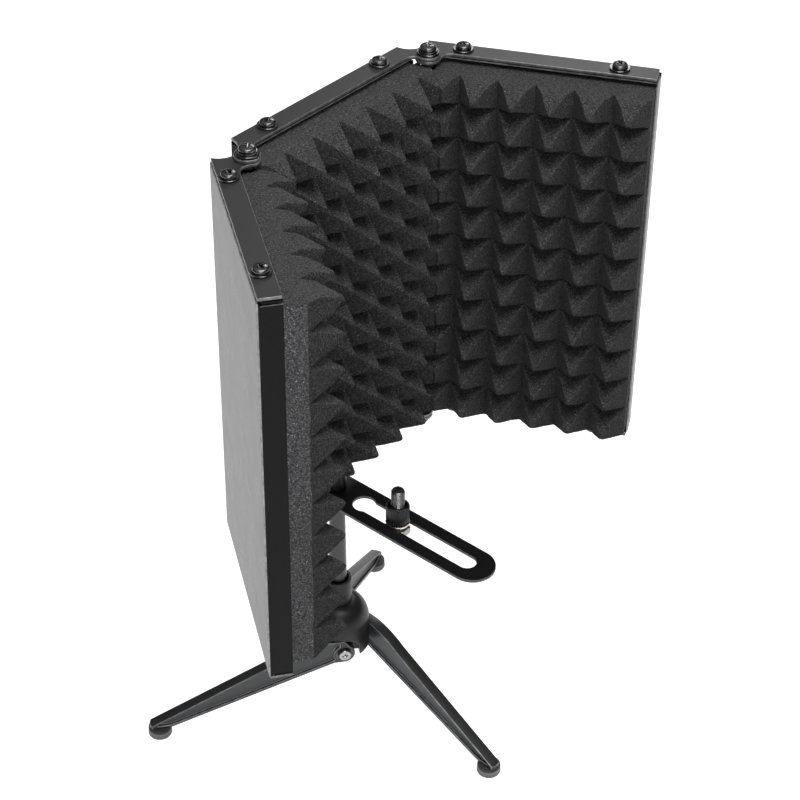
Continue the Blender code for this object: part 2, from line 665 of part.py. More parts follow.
clear_scene()
PARTS = make_collection("microphone_isolation_shield")
CUTTERS = make_collection("cutters")
ROOT = make_empty("shield_root")
UPPER = make_empty("upper_assembly", parent=ROOT)
back_panel()
wing("left", -1, LEFT_FOLD)
wing("right", 1, RIGHT_FOLD)
POST_AXIS = arm_and_post()
microphone_stud(POST_AXIS)
STAND_AXIS = make_empty("stand_axis", (0, POST_Y, 0), 0, ROOT)
LEG_FRAMES = leg_frames(STAND_AXIS)
hub(STAND_AXIS)
legs(STAND_AXIS)
centre_on_footprint(ROOT)
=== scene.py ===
import json
from math import acos, asin, atan2, cos, hypot, pi, radians, sin, sqrt, tau

import bmesh
import bpy
import numpy as np
from mathutils import Matrix, Vector, noise

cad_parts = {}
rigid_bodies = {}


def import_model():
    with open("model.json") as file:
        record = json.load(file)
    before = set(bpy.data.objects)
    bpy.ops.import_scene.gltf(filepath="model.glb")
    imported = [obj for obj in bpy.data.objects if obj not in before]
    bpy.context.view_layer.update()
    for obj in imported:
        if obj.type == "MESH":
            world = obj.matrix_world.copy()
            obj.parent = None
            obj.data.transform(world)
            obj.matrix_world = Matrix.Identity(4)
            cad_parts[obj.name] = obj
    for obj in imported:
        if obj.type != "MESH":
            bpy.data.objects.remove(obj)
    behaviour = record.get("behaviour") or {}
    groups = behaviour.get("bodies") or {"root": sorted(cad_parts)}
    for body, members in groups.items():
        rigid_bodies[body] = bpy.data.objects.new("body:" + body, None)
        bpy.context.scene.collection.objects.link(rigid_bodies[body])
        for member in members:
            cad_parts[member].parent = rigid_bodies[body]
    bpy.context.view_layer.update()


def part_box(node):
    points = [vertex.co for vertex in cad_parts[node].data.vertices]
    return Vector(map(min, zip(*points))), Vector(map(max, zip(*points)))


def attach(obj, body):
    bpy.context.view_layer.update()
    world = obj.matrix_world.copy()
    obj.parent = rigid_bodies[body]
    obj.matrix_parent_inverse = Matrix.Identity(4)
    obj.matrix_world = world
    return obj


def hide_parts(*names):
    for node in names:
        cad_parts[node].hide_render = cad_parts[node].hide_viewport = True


for item in list(bpy.data.objects):
    bpy.data.objects.remove(item, do_unlink=True)

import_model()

MM = 0.001
GAP = 0.3 * MM

# The real sizes, as in the CAD, and those of the finer shapes
PANEL_WIDTH = 152 * MM
PANEL_HEIGHT = 280 * MM
PANEL_DEPTH = 15 * MM
SHEET = 1.0 * MM
TRAY_BEND = 1.3 * MM
TRAY_SEAM = 1.3 * MM  # open slit at a corner, between the long and the end flange
RELIEF_RADIUS = 1.15 * MM
PLATE_EDGE = 0.32 * MM
FOAM_PITCH = 24.64 * MM
FOAM_ROWS = 11
FOAM_COLUMNS = 7
FOAM_CELLS = 18  # mesh cells across one pyramid
FOAM_VALLEY = 28.6 * MM
FOAM_TIP = 51.9 * MM
FOAM_TIP_WIDTH = 1.8 * MM
FOAM_LOWEST = 8.7 * MM
FOAM_TOP_CLEAR = 4.5 * MM
FOAM_SWELL = 3.0 * MM  # past the flange, towards the hinge
BACK_FOAM_SHIFT = 1.6 * MM
STRIP = 2.3 * MM
STRIP_INSET = 0.9 * MM  # from a tray's fold to the edge of the strip over it
STRIP_SHEET = STRIP - 0.2 * MM  # a strip's own sheet, a little thinner than its room
STRIP_HOLE_HINGE = 24.7 * MM
STRIP_HOLE_FREE = 26.0 * MM
EAR_RADIUS = 8.3 * MM
EAR_OUTER_FILLET = 13.0 * MM
EAR_INNER_FILLET = 7.0 * MM
LUG_RADIUS = 9.0 * MM
BACK_PIVOT_OUT = 7.1 * MM
BACK_PIVOT_IN = 6.0 * MM
WING_PIVOT_IN_END = 4.7 * MM
WING_PIVOT_IN = 7.1 * MM
LEFT_FOLD = radians(54.1)
RIGHT_FOLD = radians(62.9)
LAP = STRIP + GAP
SHANK_RADIUS = 2.4 * MM
HOLE_RADIUS = 2.75 * MM
HEAD_RADIUS = 5.0 * MM
HEAD_HEIGHT = 3.1 * MM
WASHER_RADIUS = 6.6 * MM
WASHER_THICKNESS = 1.1 * MM
PIVOT_WASHER_RADIUS = 7.3 * MM
PIVOT_WASHER_THICKNESS = 2.4 * MM
PIVOT_HEAD_RADIUS = 5.4 * MM
NUT_RADIUS = 4.6 * MM
NUT_HEIGHT = 4.0 * MM
CLINCH_RADIUS = 4.2 * MM
CLINCH_HEIGHT = 2.8 * MM
WING_BASE = 218.4 * MM
POST_Y = -14.7 * MM
ARM_TOP = 192.4 * MM
ARM_THICKNESS = 2.3 * MM
ARM_WIDTH = 32 * MM
ARM_REAR = 17 * MM
ARM_REACH = 138 * MM
SLOT_NEAR = 25.5 * MM
SLOT_FAR = 124 * MM
SLOT_HALF_WIDTH = 6.5 * MM
SLOT_END_RADIUS = 8.2 * MM
SPACER_RADIUS = 6.6 * MM
M5_PITCH = 0.8 * MM
POST_TOP_RADIUS = 5.4 * MM
POST_FOOT_RADIUS = 6.5 * MM
STUD_REACH = 56 * MM
STUD_RADIUS = 4.75 * MM
KNURL_RADIUS = 8.2 * MM
KNURL_HEIGHT = 14.0 * MM
KNURL_RIBS = 36
KNURL_DEPTH = 0.55 * MM
STUD_PITCH = 1.25 * MM
STUD_WASHER_RADIUS = 8.4 * MM
STUD_WASHER_THICKNESS = 1.6 * MM
LOCK_NUT_RADIUS = 9.0 * MM
LOCK_NUT_HEIGHT = 5 * MM
STUD_TOP = 29 * MM
SOCKET_TOP = 110 * MM
SOCKET_RADIUS = 10.0 * MM
SOCKET_BORE = 7.6 * MM
HUB_TOP = 89 * MM
HUB_RADIUS = 22.8 * MM
HUB_DOME_BASE = 70 * MM
HUB_BOTTOM = 49 * MM
POST_BOTTOM = 76 * MM
LEG_ANGLES = (143.8, 265.3, 22.6)
LEG_OFFSET = 18.5 * MM
LEG_THICKNESS = 8.6 * MM
LEG_PIVOT_HEIGHT = 54 * MM
LEG_BOSS_RADIUS = 7.8 * MM
LEG_LENGTH = 137.5 * MM
FOOT_RADIUS = 8.6 * MM
FOOT_HEIGHT = 7.2 * MM
LEG_SHOULDER = 12.0 * MM
LEG_SHOULDER_REACH = 32 * MM
LEG_TIP = 3.6 * MM
LEG_SCREW_HEAD = 4.5 * MM
LEG_SCREW_SEAT = 5.9 * MM
LEG_SEAT_DEPTH = 1.1 * MM
LEG_POCKET_DEPTH = 2.2 * MM
PIVOT_X = PANEL_WIDTH / 2 + BACK_PIVOT_OUT
PIVOT_Y = -(PANEL_DEPTH + BACK_PIVOT_IN)
BACK_LOW = WING_BASE - LAP
BACK_HIGH = WING_BASE + PANEL_HEIGHT + LAP
WING_NEAR = -WING_PIVOT_IN_END  # the wing's hinge end, from its pivot


def turn_z(angle):
    return Matrix.Rotation(angle, 4, "Z")


def turn_x(degrees):
    return Matrix.Rotation(radians(degrees), 4, "X")


def move(x, y, z):
    return Matrix.Translation((x, y, z))


def linked(name, data):
    """A new object with this data, in the scene."""
    item = bpy.data.objects.new(name, data)
    bpy.context.scene.collection.objects.link(item)
    return item


# Frames: the upper assembly's origin is the middle of the back tray's outer face, at table height
tray_low, tray_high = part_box("back_tray")
UPPER = move((tray_low.x + tray_high.x) / 2, tray_high.y, 0)
POST = UPPER @ move(0, POST_Y, 0)
UPRIGHT = turn_x(90)
UPSIDE_DOWN = turn_x(180)
WING = {"left": UPPER @ move(-PIVOT_X, PIVOT_Y, WING_BASE) @ turn_z(LEFT_FOLD),
        "right": UPPER @ move(PIVOT_X, PIVOT_Y, WING_BASE) @ turn_z(-RIGHT_FOLD)}
SIDE = {"left": -1, "right": 1}
FOLD = {"left": LEFT_FOLD, "right": RIGHT_FOLD}


# ---- camera

CAMERA_YAW = 49.72882  # degrees from +Y towards +X
CAMERA_PITCH = 37.25826  # degrees downwards
CAMERA_ROLL = 0.68376
CAMERA_LENS = 101.49435  # millimetres, on a 36 mm sensor
CAMERA_PLACE = (-0.90120, -0.83498, 0.97842)  # from the wings' lower edge


def camera():
    """The main view, through a long lens."""
    data = bpy.data.cameras.new("camera")
    data.sensor_width = 36
    data.lens = CAMERA_LENS
    data.clip_start = 0.05
    data.clip_end = 20
    shown = linked("camera", data)
    turned = turn_z(-radians(CAMERA_YAW)) @ turn_x(90 - CAMERA_PITCH) @ turn_z(radians(CAMERA_ROLL))
    shown.matrix_world = UPPER @ move(0, 0, WING_BASE) @ move(*CAMERA_PLACE) @ turned
    bpy.context.scene.camera = shown


# ---- mesh helpers

def mesh_of(build):
    bm = bmesh.new()
    build(bm)
    mesh = bpy.data.meshes.new("mesh")
    bm.to_mesh(mesh)
    bm.free()
    return mesh


def from_lists(verts, faces):
    mesh = bpy.data.meshes.new("mesh")
    mesh.from_pydata([tuple(v) for v in verts], [], faces)
    mesh.update()

    def fix(bm):
        bm.from_mesh(mesh)
        bmesh.ops.recalc_face_normals(bm, faces=bm.faces)

    return mesh_of(fix)


def applied(helper):
    """The helper's mesh with its modifiers applied; the helper itself goes."""
    bpy.context.view_layer.update()
    graph = bpy.context.evaluated_depsgraph_get()
    mesh = bpy.data.meshes.new_from_object(helper.evaluated_get(graph))
    bpy.data.objects.remove(helper, do_unlink=True)
    return mesh


def modified(mesh, *steps):
    """The mesh after some modifiers, each (type, settings)."""
    while len(mesh.materials) < 3:
        mesh.materials.append(None)
    helper = linked("helper", mesh)
    for kind, settings in steps:
        change = helper.modifiers.new(kind.lower(), kind)
        for key, value in settings.items():
            setattr(change, key, value)
    return applied(helper)


def carved(mesh, *tools, operation="DIFFERENCE"):
    """The mesh after an exact boolean with each of the tools."""
    helper = linked("helper", mesh)
    others = [linked("tool", tool) for tool in tools]
    for other in others:
        change = helper.modifiers.new("carve", "BOOLEAN")
        change.operation = operation
        change.solver = "EXACT"
        change.object = other
    result = applied(helper)
    for other in others:
        bpy.data.objects.remove(other, do_unlink=True)
    return result


def bevel_step(width, segments=2, angle=35, rim=False):
    """Rounds sharp edges. With rim, the rounded faces use the mesh's second material."""
    return ("BEVEL", {"width": width, "segments": segments, "limit_method": "ANGLE",
                      "angle_limit": radians(angle), "use_clamp_overlap": True,
                      "material": 1 if rim else -1})


def joined(*meshes):
    def build(bm):
        for mesh in meshes:
            bm.from_mesh(mesh)

    return mesh_of(build)


def moved(mesh, place):
    copy = mesh.copy()
    copy.transform(place)
    if place.determinant() < 0:
        copy.flip_normals()
    return copy


def piece(name, mesh, place, body, looks, node, whole=True, smooth=35, flat_sheet=False):
    """One visible piece of a CAD node, riding on a body. It replaces the node if it is the whole of it.

    looks is one material or several. With flat_sheet, the faces with the first are shaded flat."""
    mesh = moved(mesh, place)
    mesh.name = name
    looks = looks if isinstance(looks, tuple) else (looks,)
    indices = np.zeros(len(mesh.polygons), np.int32)
    mesh.polygons.foreach_get("material_index", indices)
    mesh.materials.clear()
    for look in looks:
        mesh.materials.append(look)
    mesh.polygons.foreach_set("material_index", np.minimum(indices, len(looks) - 1))
    mesh.shade_smooth()
    mesh.set_sharp_from_angle(angle=radians(smooth))
    if flat_sheet:
        mesh.polygons.foreach_set("use_smooth", indices > 0)
    shown = linked(name, mesh)
    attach(shown, body)
    if whole:
        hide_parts(node)
    return shown


def arc(centre, radius, start, end, count):
    return [(centre[0] + radius * cos(start + (end - start) * i / count),
             centre[1] + radius * sin(start + (end - start) * i / count))
            for i in range(count + 1)]


def circle(centre, radius, count=32):
    return arc(centre, radius, 0, tau, count)[:-1]


def angle_from(centre, point):
    return atan2(point[1] - centre[1], point[0] - centre[0])


def mirrored(points):
    return [(-x, y) for x, y in points]


def plate(loops, thickness):
    """A flat plate centred on z = 0, its cut edges a little rounded, with the second material, which paints
    a highlight on them.
    """
    curve = bpy.data.curves.new("plate", "CURVE")
    curve.dimensions = "2D"
    curve.fill_mode = "BOTH"
    curve.extrude = thickness / 2 - PLATE_EDGE
    curve.bevel_depth = PLATE_EDGE
    curve.bevel_resolution = 2
    curve.offset = -PLATE_EDGE
    for points in loops:
        spline = curve.splines.new("POLY")
        spline.points.add(len(points) - 1)
        for slot, (x, y) in zip(spline.points, points):
            slot.co = (x, y, 0, 1)
        spline.use_cyclic_u = True
    mesh = applied(linked("plate", curve))

    def weld(bm):
        bm.from_mesh(mesh)
        bmesh.ops.remove_doubles(bm, verts=bm.verts, dist=0.01 * MM)
        bmesh.ops.recalc_face_normals(bm, faces=bm.faces)
        for face in bm.faces:
            # cut edges get the second material, a painted edge highlight
            face.material_index = 1 if abs(face.normal.z) < 0.97 else 0

    return mesh_of(weld)


def lathe(profile, steps=64, radius_at=None):
    """A profile of (radius, height) turned about Z; a ring, unless it starts and ends on the axis.

    radius_at(radius, angle) may shape it."""
    verts, faces, rows = [], [], []
    for radius, height in profile:
        if radius <= 1e-9:
            rows.append([len(verts)])
            verts.append((0, 0, height))
        else:
            rows.append(list(range(len(verts), len(verts) + steps)))
            for i in range(steps):
                angle = tau * i / steps
                reach = radius_at(radius, angle) if radius_at else radius
                verts.append((reach * cos(angle), reach * sin(angle), height))
    if profile[0][0] > 0:
        rows.append(rows[0])
    for upper, lower in zip(rows, rows[1:]):
        for i in range(steps):
            j = (i + 1) % steps
            a = [upper[i % len(upper)], upper[j % len(upper)]]
            b = [lower[j % len(lower)], lower[i % len(lower)]]
            face = []
            for index in a + b:
                if index not in face:
                    face.append(index)
            if len(face) > 2:
                faces.append(face)
    return from_lists(verts, faces)


def prism(outline, low, high, top_scale=1.0):
    """An outline in the XY plane, extruded along Z, its far end scaled."""
    count = len(outline)
    verts = [(x, y, low) for x, y in outline]
    verts += [(x * top_scale, y * top_scale, high) for x, y in outline]
    faces = [list(reversed(range(count))), list(range(count, 2 * count))]
    faces += [[i, (i + 1) % count, count + (i + 1) % count, count + i] for i in range(count)]
    return from_lists(verts, faces)


def block(low, high):
    low, high = Vector(low), Vector(high)

    def build(bm):
        size = Matrix.Diagonal((*(high - low), 1))
        bmesh.ops.create_cube(bm, size=1, matrix=move(*(low + high) / 2) @ size)

    return mesh_of(build)


def thread(radius, low, high, pitch=M5_PITCH, steps=40, chamfer=0.6 * MM):
    """A threaded rod: a helical ridge and groove, chamfered at the top."""
    depth = pitch * 0.42
    rings = max(4, int((high - low) / (pitch / 8)))
    verts, faces = [], []
    for j in range(rings + 1):
        z = low + (high - low) * j / rings
        limit = min(radius, radius - chamfer + (high - z), radius - chamfer + (z - low) + depth)
        for i in range(steps):
            phase = (z / pitch - i / steps) % 1
            ridge = radius - depth * (1 - min(1, abs(phase - 0.5) * 2.6))
            reach = min(ridge, limit)
            angle = tau * i / steps
            verts.append((reach * cos(angle), reach * sin(angle), z))
    for j in range(rings):
        for i in range(steps):
            k = (i + 1) % steps
            faces.append([j * steps + i, j * steps + k, (j + 1) * steps + k, (j + 1) * steps + i])
    faces.append(list(reversed(range(steps))))
    faces.append([rings * steps + i for i in range(steps)])
    return from_lists(verts, faces)


# ---- materials

class Nodes:
    """The nodes of a material or a world, built up step by step round its shader."""

    def __init__(self, owner, shader):
        owner.use_nodes = True
        self.tree = owner.node_tree
        self.shader = self.tree.nodes[shader]

    def give(self, socket, value):
        """Gives a socket a link or a value."""
        if isinstance(value, bpy.types.NodeSocket):
            self.tree.links.new(value, socket)
        else:
            socket.default_value = value

    def set(self, socket, value):
        self.give(self.shader.inputs[socket], value)

    def node(self, kind, output, inputs):
        """A new node with these inputs, by their sockets' names or numbers; returns one of its outputs."""
        node = self.tree.nodes.new("ShaderNode" + kind)
        for socket, value in inputs.items():
            self.give(node.inputs[socket], value)
        return node.outputs[output]


class Look(Nodes):
    """A material."""

    def __init__(self, name, roughness=0.5, metallic=0.0, specular=0.5):
        self.material = bpy.data.materials.new(name)
        super().__init__(self.material, "Principled BSDF")
        self.set("Roughness", roughness)
        self.set("Metallic", metallic)
        self.set("Specular IOR Level", specular)
        self.coords = self.node("TexCoord", "Object", {})

    def noise(self, scale, detail=2.0, rough=0.5, stretch=None):
        coords = self.coords
        if stretch:
            coords = self.node("Mapping", "Vector", {"Scale": stretch, "Vector": coords})
        return self.node("TexNoise", "Fac", {"Scale": scale, "Detail": detail, "Roughness": rough,
                                             "Vector": coords})

    def ramp(self, fac, low, high, start=0.0, end=1.0):
        """Maps fac from low..high to start..end, clamped."""
        return self.node("MapRange", "Result", {"Value": fac, "From Min": low, "From Max": high,
                                                "To Min": start, "To Max": end})

    def bump(self, height, distance, strength=1.0):
        return self.node("Bump", "Normal", {"Strength": strength, "Distance": distance, "Height": height})

    def mix(self, fac, a, b):
        """A colour between a and b, each a link or a colour without alpha."""
        node = self.tree.nodes.new("ShaderNodeMix")
        node.data_type = "RGBA"
        self.give(node.inputs["Factor"], fac)
        for name, value in (("A", a), ("B", b)):
            socket = [s for s in node.inputs if s.name == name and s.type == "RGBA"][0]
            self.give(socket, (*value, 1) if isinstance(value, tuple) else value)
        return [s for s in node.outputs if s.type == "RGBA"][0]


def grey(value, tint=(1, 1, 1)):
    return tuple(value * t for t in tint)


def powder_coat(name, base, roughness=0.30, specular=0.25, peel=0.006 * MM):
    """Satin black powder coat: fine orange peel, faint clouding and a few rubbed marks."""
    look = Look(name, specular=specular)
    cloud = look.noise(14, 2)
    fine = look.noise(900, 2)
    body = look.mix(cloud, grey(base * 0.9), grey(base * 1.1, (1, 1, 1.04)))
    specks = look.ramp(look.noise(520, 1), 0.74, 0.80, 0, 0.5)
    look.set("Base Color", look.mix(specks, body, grey(base * 3)))
    look.set("Roughness", look.ramp(look.noise(60, 3), 0.3, 0.7, roughness - 0.01, roughness + 0.01))
    look.set("Normal", look.bump(fine, peel, 0.35))
    return look.material


def edge_highlight_coat(name, base, roughness=0.30):
    """A brighter coat on cut and folded edges: a painted edge highlight, with a little wear varying along
    it.
    """
    look = Look(name, roughness=roughness, metallic=0.6, specular=0.5)
    worn = look.ramp(look.noise(260, 4), 0.3, 0.7)
    # painted highlight: the edges are coloured far brighter than the coat beside them
    look.set("Base Color", look.mix(worn, grey(base * 0.55), grey(base * 1.25)))
    look.set("Roughness", look.ramp(worn, 0, 1, roughness, roughness + 0.12))
    look.set("Normal", look.bump(look.noise(900, 2), 0.02 * MM, 0.3))
    return look.material


def cast_paint(name, base, roughness=0.30, tint=(1, 1, 1), specular=0.5):
    """Satin paint over a die casting: soft, slightly uneven."""
    look = Look(name, specular=specular)
    cloud = look.noise(60, 4)
    look.set("Base Color", look.mix(cloud, grey(base * 0.9, tint), grey(base * 1.15, tint)))
    look.set("Roughness", look.ramp(look.noise(120, 3), 0.3, 0.7, roughness - 0.03, roughness + 0.03))
    look.set("Normal", look.bump(look.noise(450, 2), 0.004 * MM, 0.3))
    return look.material


def plated(name, base, roughness=0.25, streak=(1, 1, 14), tint=(1, 1, 1)):
    """Plated steel: metallic, with fine turning marks and small smudges."""
    look = Look(name, metallic=1.0)
    marks = look.noise(700, 2, stretch=streak)
    smudge = look.noise(240, 4)
    look.set("Base Color", look.mix(smudge, grey(base * 0.75, tint), grey(base * 1.12, tint)))
    look.set("Roughness", look.ramp(smudge, 0.3, 0.7, roughness - 0.04, roughness + 0.08))
    look.set("Normal", look.bump(marks, 0.003 * MM, 0.2))
    return look.material


def open_cell(name, base):
    """Charcoal open-cell foam: pores and gaps between struts darkened as painted shade, painted glints
    where struts catch the light, uneven dye.
    """
    look = Look(name, roughness=0.92, specular=0.25)
    look.set("Sheen Weight", 0.05)
    look.set("Sheen Roughness", 0.6)
    pores = look.node("TexVoronoi", "Distance", {"Scale": 780, "Vector": look.coords})
    speck = look.noise(800, 3, 0.75)
    spark = look.noise(1300, 1, 0.5)
    cloud = look.noise(40, 3)
    strut = look.mix(cloud, grey(base * 0.85, (1, 1, 1.02)), grey(base * 1.2, (1, 1, 1.06)))
    # painted shade: dark gaps between the struts
    shade = look.mix(look.ramp(speck, 0.40, 0.60), grey(base * 0.30), strut)
    # painted glints: bright specks where struts catch the light
    shade = look.mix(look.ramp(spark, 0.64, 0.72, 0, 0.9), shade, grey(base * 3.6))
    # painted shade: the pores darkened
    shade = look.mix(look.ramp(pores, 0.55, 0.8, 0, 0.8), shade, grey(base * 0.25))
    look.set("Base Color", shade)
    relief = look.node("Math", "Value", {0: look.ramp(pores, 0.0, 0.7, 1, 0), 1: speck})
    look.set("Normal", look.bump(relief, 0.8 * MM, 0.9))
    return look.material


def soft_rubber(name, base, roughness=0.6):
    look = Look(name, specular=0.4)
    mottle = look.noise(350, 4)
    dust = look.ramp(look.noise(120, 5), 0.5, 0.75, 0, 0.5)
    body = look.mix(mottle, grey(base * 0.8), grey(base * 1.15))
    look.set("Base Color", look.mix(dust, body, grey(base * 1.7)))
    look.set("Roughness", look.ramp(mottle, 0.3, 0.7, roughness - 0.08, roughness + 0.1))
    look.set("Normal", look.bump(look.noise(1300, 3), 0.04 * MM, 0.6))
    return look.material


# ---- trays

def corner_tools(x, z, inward):
    """What is cut away at one corner of a tray: two slits between its flanges and a relief hole."""
    front, back = -PANEL_DEPTH - MM, -2.0 * MM
    seam = block((-MM, front, SHEET), (SHEET + 0.3 * MM, back, SHEET + TRAY_SEAM))
    end = block((-MM, front, -MM), (0.7 * MM, back, SHEET + 0.1 * MM))
    at = move(x, 0, z) @ Matrix.Diagonal((inward.x, 1, inward.z, 1))
    relief = lathe([(0, 2.6 * MM), (RELIEF_RADIUS, 2.6 * MM), (RELIEF_RADIUS, -2 * MM),
                    (0, -2 * MM)], 20)
    diagonal = Matrix.Rotation(-atan2(inward.z, inward.x), 4, "Y")
    across = Matrix.Rotation(radians(90), 4, "Y")
    relief = moved(relief, move(x, 0, z) @ diagonal @ move(0, -2.2 * MM, 0) @ across)
    return [moved(seam, at), moved(end, at), relief]


def tray_mesh(width, height):
    """A folded tray from x = 0 to width and z = 0 to height, its outer face on y = 0.

    Its folds, its flanges' lips and its slits' edges get the second material, a brighter coat that paints
    their highlight."""
    def build(bm):
        bm.from_mesh(block((0, -PANEL_DEPTH, 0), (width, 0, height)))
        inner = [face for face in bm.faces if face.normal.y < -0.9]
        bmesh.ops.delete(bm, geom=inner, context="FACES_ONLY")
        folds = [edge for edge in bm.edges if all(vert.co.y > -1e-6 for vert in edge.verts)]
        bmesh.ops.bevel(bm, geom=folds, offset=TRAY_BEND, segments=5, profile=0.5, affect="EDGES")

    shell = modified(mesh_of(build),
                     ("SOLIDIFY", {"thickness": SHEET, "offset": -1, "use_even_offset": True}))
    tools = []
    for x, z in ((0, 0), (width, 0), (0, height), (width, height)):
        tools += corner_tools(x, z, Vector((1 if x == 0 else -1, 0, 1 if z == 0 else -1)))
    shell = modified(carved(shell, *tools), bevel_step(0.25 * MM, 2, 50, True))
    for face in shell.polygons:
        normal, centre = face.normal, face.center
        fold = normal.y > 0.3 and max(abs(normal.x), abs(normal.z)) > 0.3
        lip = centre.y < 0.2 * MM - PANEL_DEPTH
        from_end = height / 2 - abs(centre.z - height / 2)
        slit = abs(normal.z) > 0.9 and abs(from_end - SHEET - TRAY_SEAM) < 0.3 * MM
        # folds, lips and slit edges get the painted edge highlight
        if fold or lip or slit:
            face.material_index = 1
    return shell


def clinch_nut():
    """A clinch nut pressed into a flange: a round body, chamfered at its edges, with a plain hole."""
    profile = [(HOLE_RADIUS, 0), (CLINCH_RADIUS - 0.3 * MM, 0), (CLINCH_RADIUS, -0.3 * MM),
               (CLINCH_RADIUS, 0.35 * MM - CLINCH_HEIGHT), (CLINCH_RADIUS - 0.4 * MM, -CLINCH_HEIGHT),
               (HOLE_RADIUS + 0.4 * MM, -CLINCH_HEIGHT), (HOLE_RADIUS, 0.4 * MM - CLINCH_HEIGHT)]
    return lathe(profile, 36)


def trays():
    # the second look paints highlights on the trays' folds and edges
    coat = (powder_coat("tray_coat", 0.004, 0.28, 0.12, 0.0015 * MM), edge_highlight_coat("tray_edge_highlight", 0.34, 0.30))
    nut_look = plated("clinch_plate", 0.12, 0.32)
    nut = clinch_nut()
    back = tray_mesh(PANEL_WIDTH, PANEL_HEIGHT + 2 * LAP)
    back_place = UPPER @ move(-PANEL_WIDTH / 2, 0, BACK_LOW)
    piece("back_tray_sheet", back, back_place, "upper", coat, "back_tray", flat_sheet=True)
    spots = [(back_place, "upper", "back", x, PANEL_HEIGHT + 2 * LAP)
             for x in (STRIP_HOLE_HINGE, PANEL_WIDTH - STRIP_HOLE_HINGE)]
    wing = tray_mesh(PANEL_WIDTH, PANEL_HEIGHT)
    for name, side in SIDE.items():
        left = WING_NEAR if side > 0 else -WING_NEAR - PANEL_WIDTH
        place = WING[name] @ move(left, PANEL_DEPTH + WING_PIVOT_IN, 0)
        piece(f"{name}_tray_sheet", wing, place, f"{name}_wing", coat, f"{name}_tray", flat_sheet=True)
        for distance in (STRIP_HOLE_HINGE, PANEL_WIDTH - STRIP_HOLE_FREE):
            x = distance if side > 0 else PANEL_WIDTH - distance
            spots.append((place, f"{name}_wing", name, x, PANEL_HEIGHT))
    for index, (place, body, name, x, height) in enumerate(spots):
        top = place @ move(x, -PANEL_DEPTH / 2, height - SHEET)
        low = place @ move(x, -PANEL_DEPTH / 2, SHEET) @ UPSIDE_DOWN
        for end, spot in (("top", top), ("bottom", low)):
            piece(f"{name}_{end}_clinch_{index % 2 + 1}", nut, spot, body, nut_look, f"{name}_tray", False)


# ---- foam

def soft_min(a, b, k):
    """The smaller of a and b, rounded over a width k where they cross."""
    h = np.clip(0.5 + 0.5 * (b - a) / k, 0, 1)
    return b * (1 - h) + a * h - k * h * (1 - h)


def foam_height(x, z):
    """Height of the cut pyramids above their valleys, at distances x, z from the grid's corner."""
    run = (FOAM_PITCH - FOAM_TIP_WIDTH) / 2
    from_valley = [np.abs((v / FOAM_PITCH + 0.5) % 1 - 0.5) * FOAM_PITCH for v in (x, z)]
    rise = soft_min(from_valley[0], from_valley[1], 0.45 * MM) / run
    rise = soft_min(rise, np.full_like(rise, 1.0), 0.04)
    return np.clip(rise, 0, None) * (FOAM_TIP - FOAM_VALLEY)


def foam_notches(edge, pivot, outward, high):
    """What the foam leaves free beside a hinge: the tray's end flange and the hinge nut."""
    far = edge + outward * 12 * MM
    above = high + 20 * MM
    front = -PANEL_DEPTH - GAP - 0.4 * MM
    flange = block((min(edge, far), front, 0), (max(edge, far), 10 * MM, above))
    room = NUT_RADIUS + 0.8 * MM
    under = high - 2.4 * MM
    nut = lathe([(0, above), (room, above), (room, under), (0, under)], 24)
    return [flange, moved(nut, move(*pivot, 0))]


def foam_front(grid_left, seed):
    """The points of the pyramids' face, row by row, each a little out of place as in cut foam."""
    step = FOAM_PITCH / FOAM_CELLS
    xs, zs = np.meshgrid(np.arange(FOAM_COLUMNS * FOAM_CELLS + 1) * step,
                         np.arange(FOAM_ROWS * FOAM_CELLS + 1) * step)
    ys = -FOAM_VALLEY - foam_height(xs, zs)
    front = np.stack([xs + grid_left, ys, zs + FOAM_LOWEST], -1).reshape(-1, 3)
    for i, point in enumerate(front):
        place = Vector(point) * 90 + Vector((seed, 0, 0))
        sway = noise.noise(place)
        grain = noise.noise(Vector(point) * 420 + Vector((0, seed, 0)))
        drift = noise.noise(place * 0.6 + Vector((0, 9, 0)))
        front[i] += (0.35 * MM * drift, (0.35 * sway + 0.16 * grain) * MM, 0.35 * MM * sway)
    return list(map(tuple, front))


def foam_block(grid_left, seed):
    """The whole sheet of pyramids as a closed mesh, before it is cut to its panel."""
    columns = FOAM_COLUMNS * FOAM_CELLS
    rows = FOAM_ROWS * FOAM_CELLS
    half = FOAM_CELLS // 2
    verts = foam_front(grid_left, seed)

    def at(i, j):
        return j * (columns + 1) + i

    faces = []
    for j in range(rows):
        for i in range(columns):
            a, b, c, d = at(i, j), at(i + 1, j), at(i + 1, j + 1), at(i, j + 1)
            rising = (i % FOAM_CELLS < half) == (j % FOAM_CELLS < half)
            faces += [(a, b, c), (a, c, d)] if rising else [(a, b, d), (b, c, d)]
    rim = ([at(i, 0) for i in range(columns)] + [at(columns, j) for j in range(rows)]
           + [at(i, rows) for i in range(columns, 0, -1)] + [at(0, j) for j in range(rows, 0, -1)])
    back = -(SHEET + GAP)
    layers = [rim]
    for share in (0.25, 0.5, 0.75, 1.0):
        ring = []
        for index in rim:
            x, y, z = verts[index]
            ring.append(len(verts))
            verts.append((x, y + (back - y) * share, z))
        layers.append(ring)
    for upper, lower in zip(layers, layers[1:]):
        for i in range(len(rim)):
            j = (i + 1) % len(rim)
            faces.append((upper[j], upper[i], lower[i], lower[j]))
    faces.append(layers[-1])
    return from_lists(verts, faces)


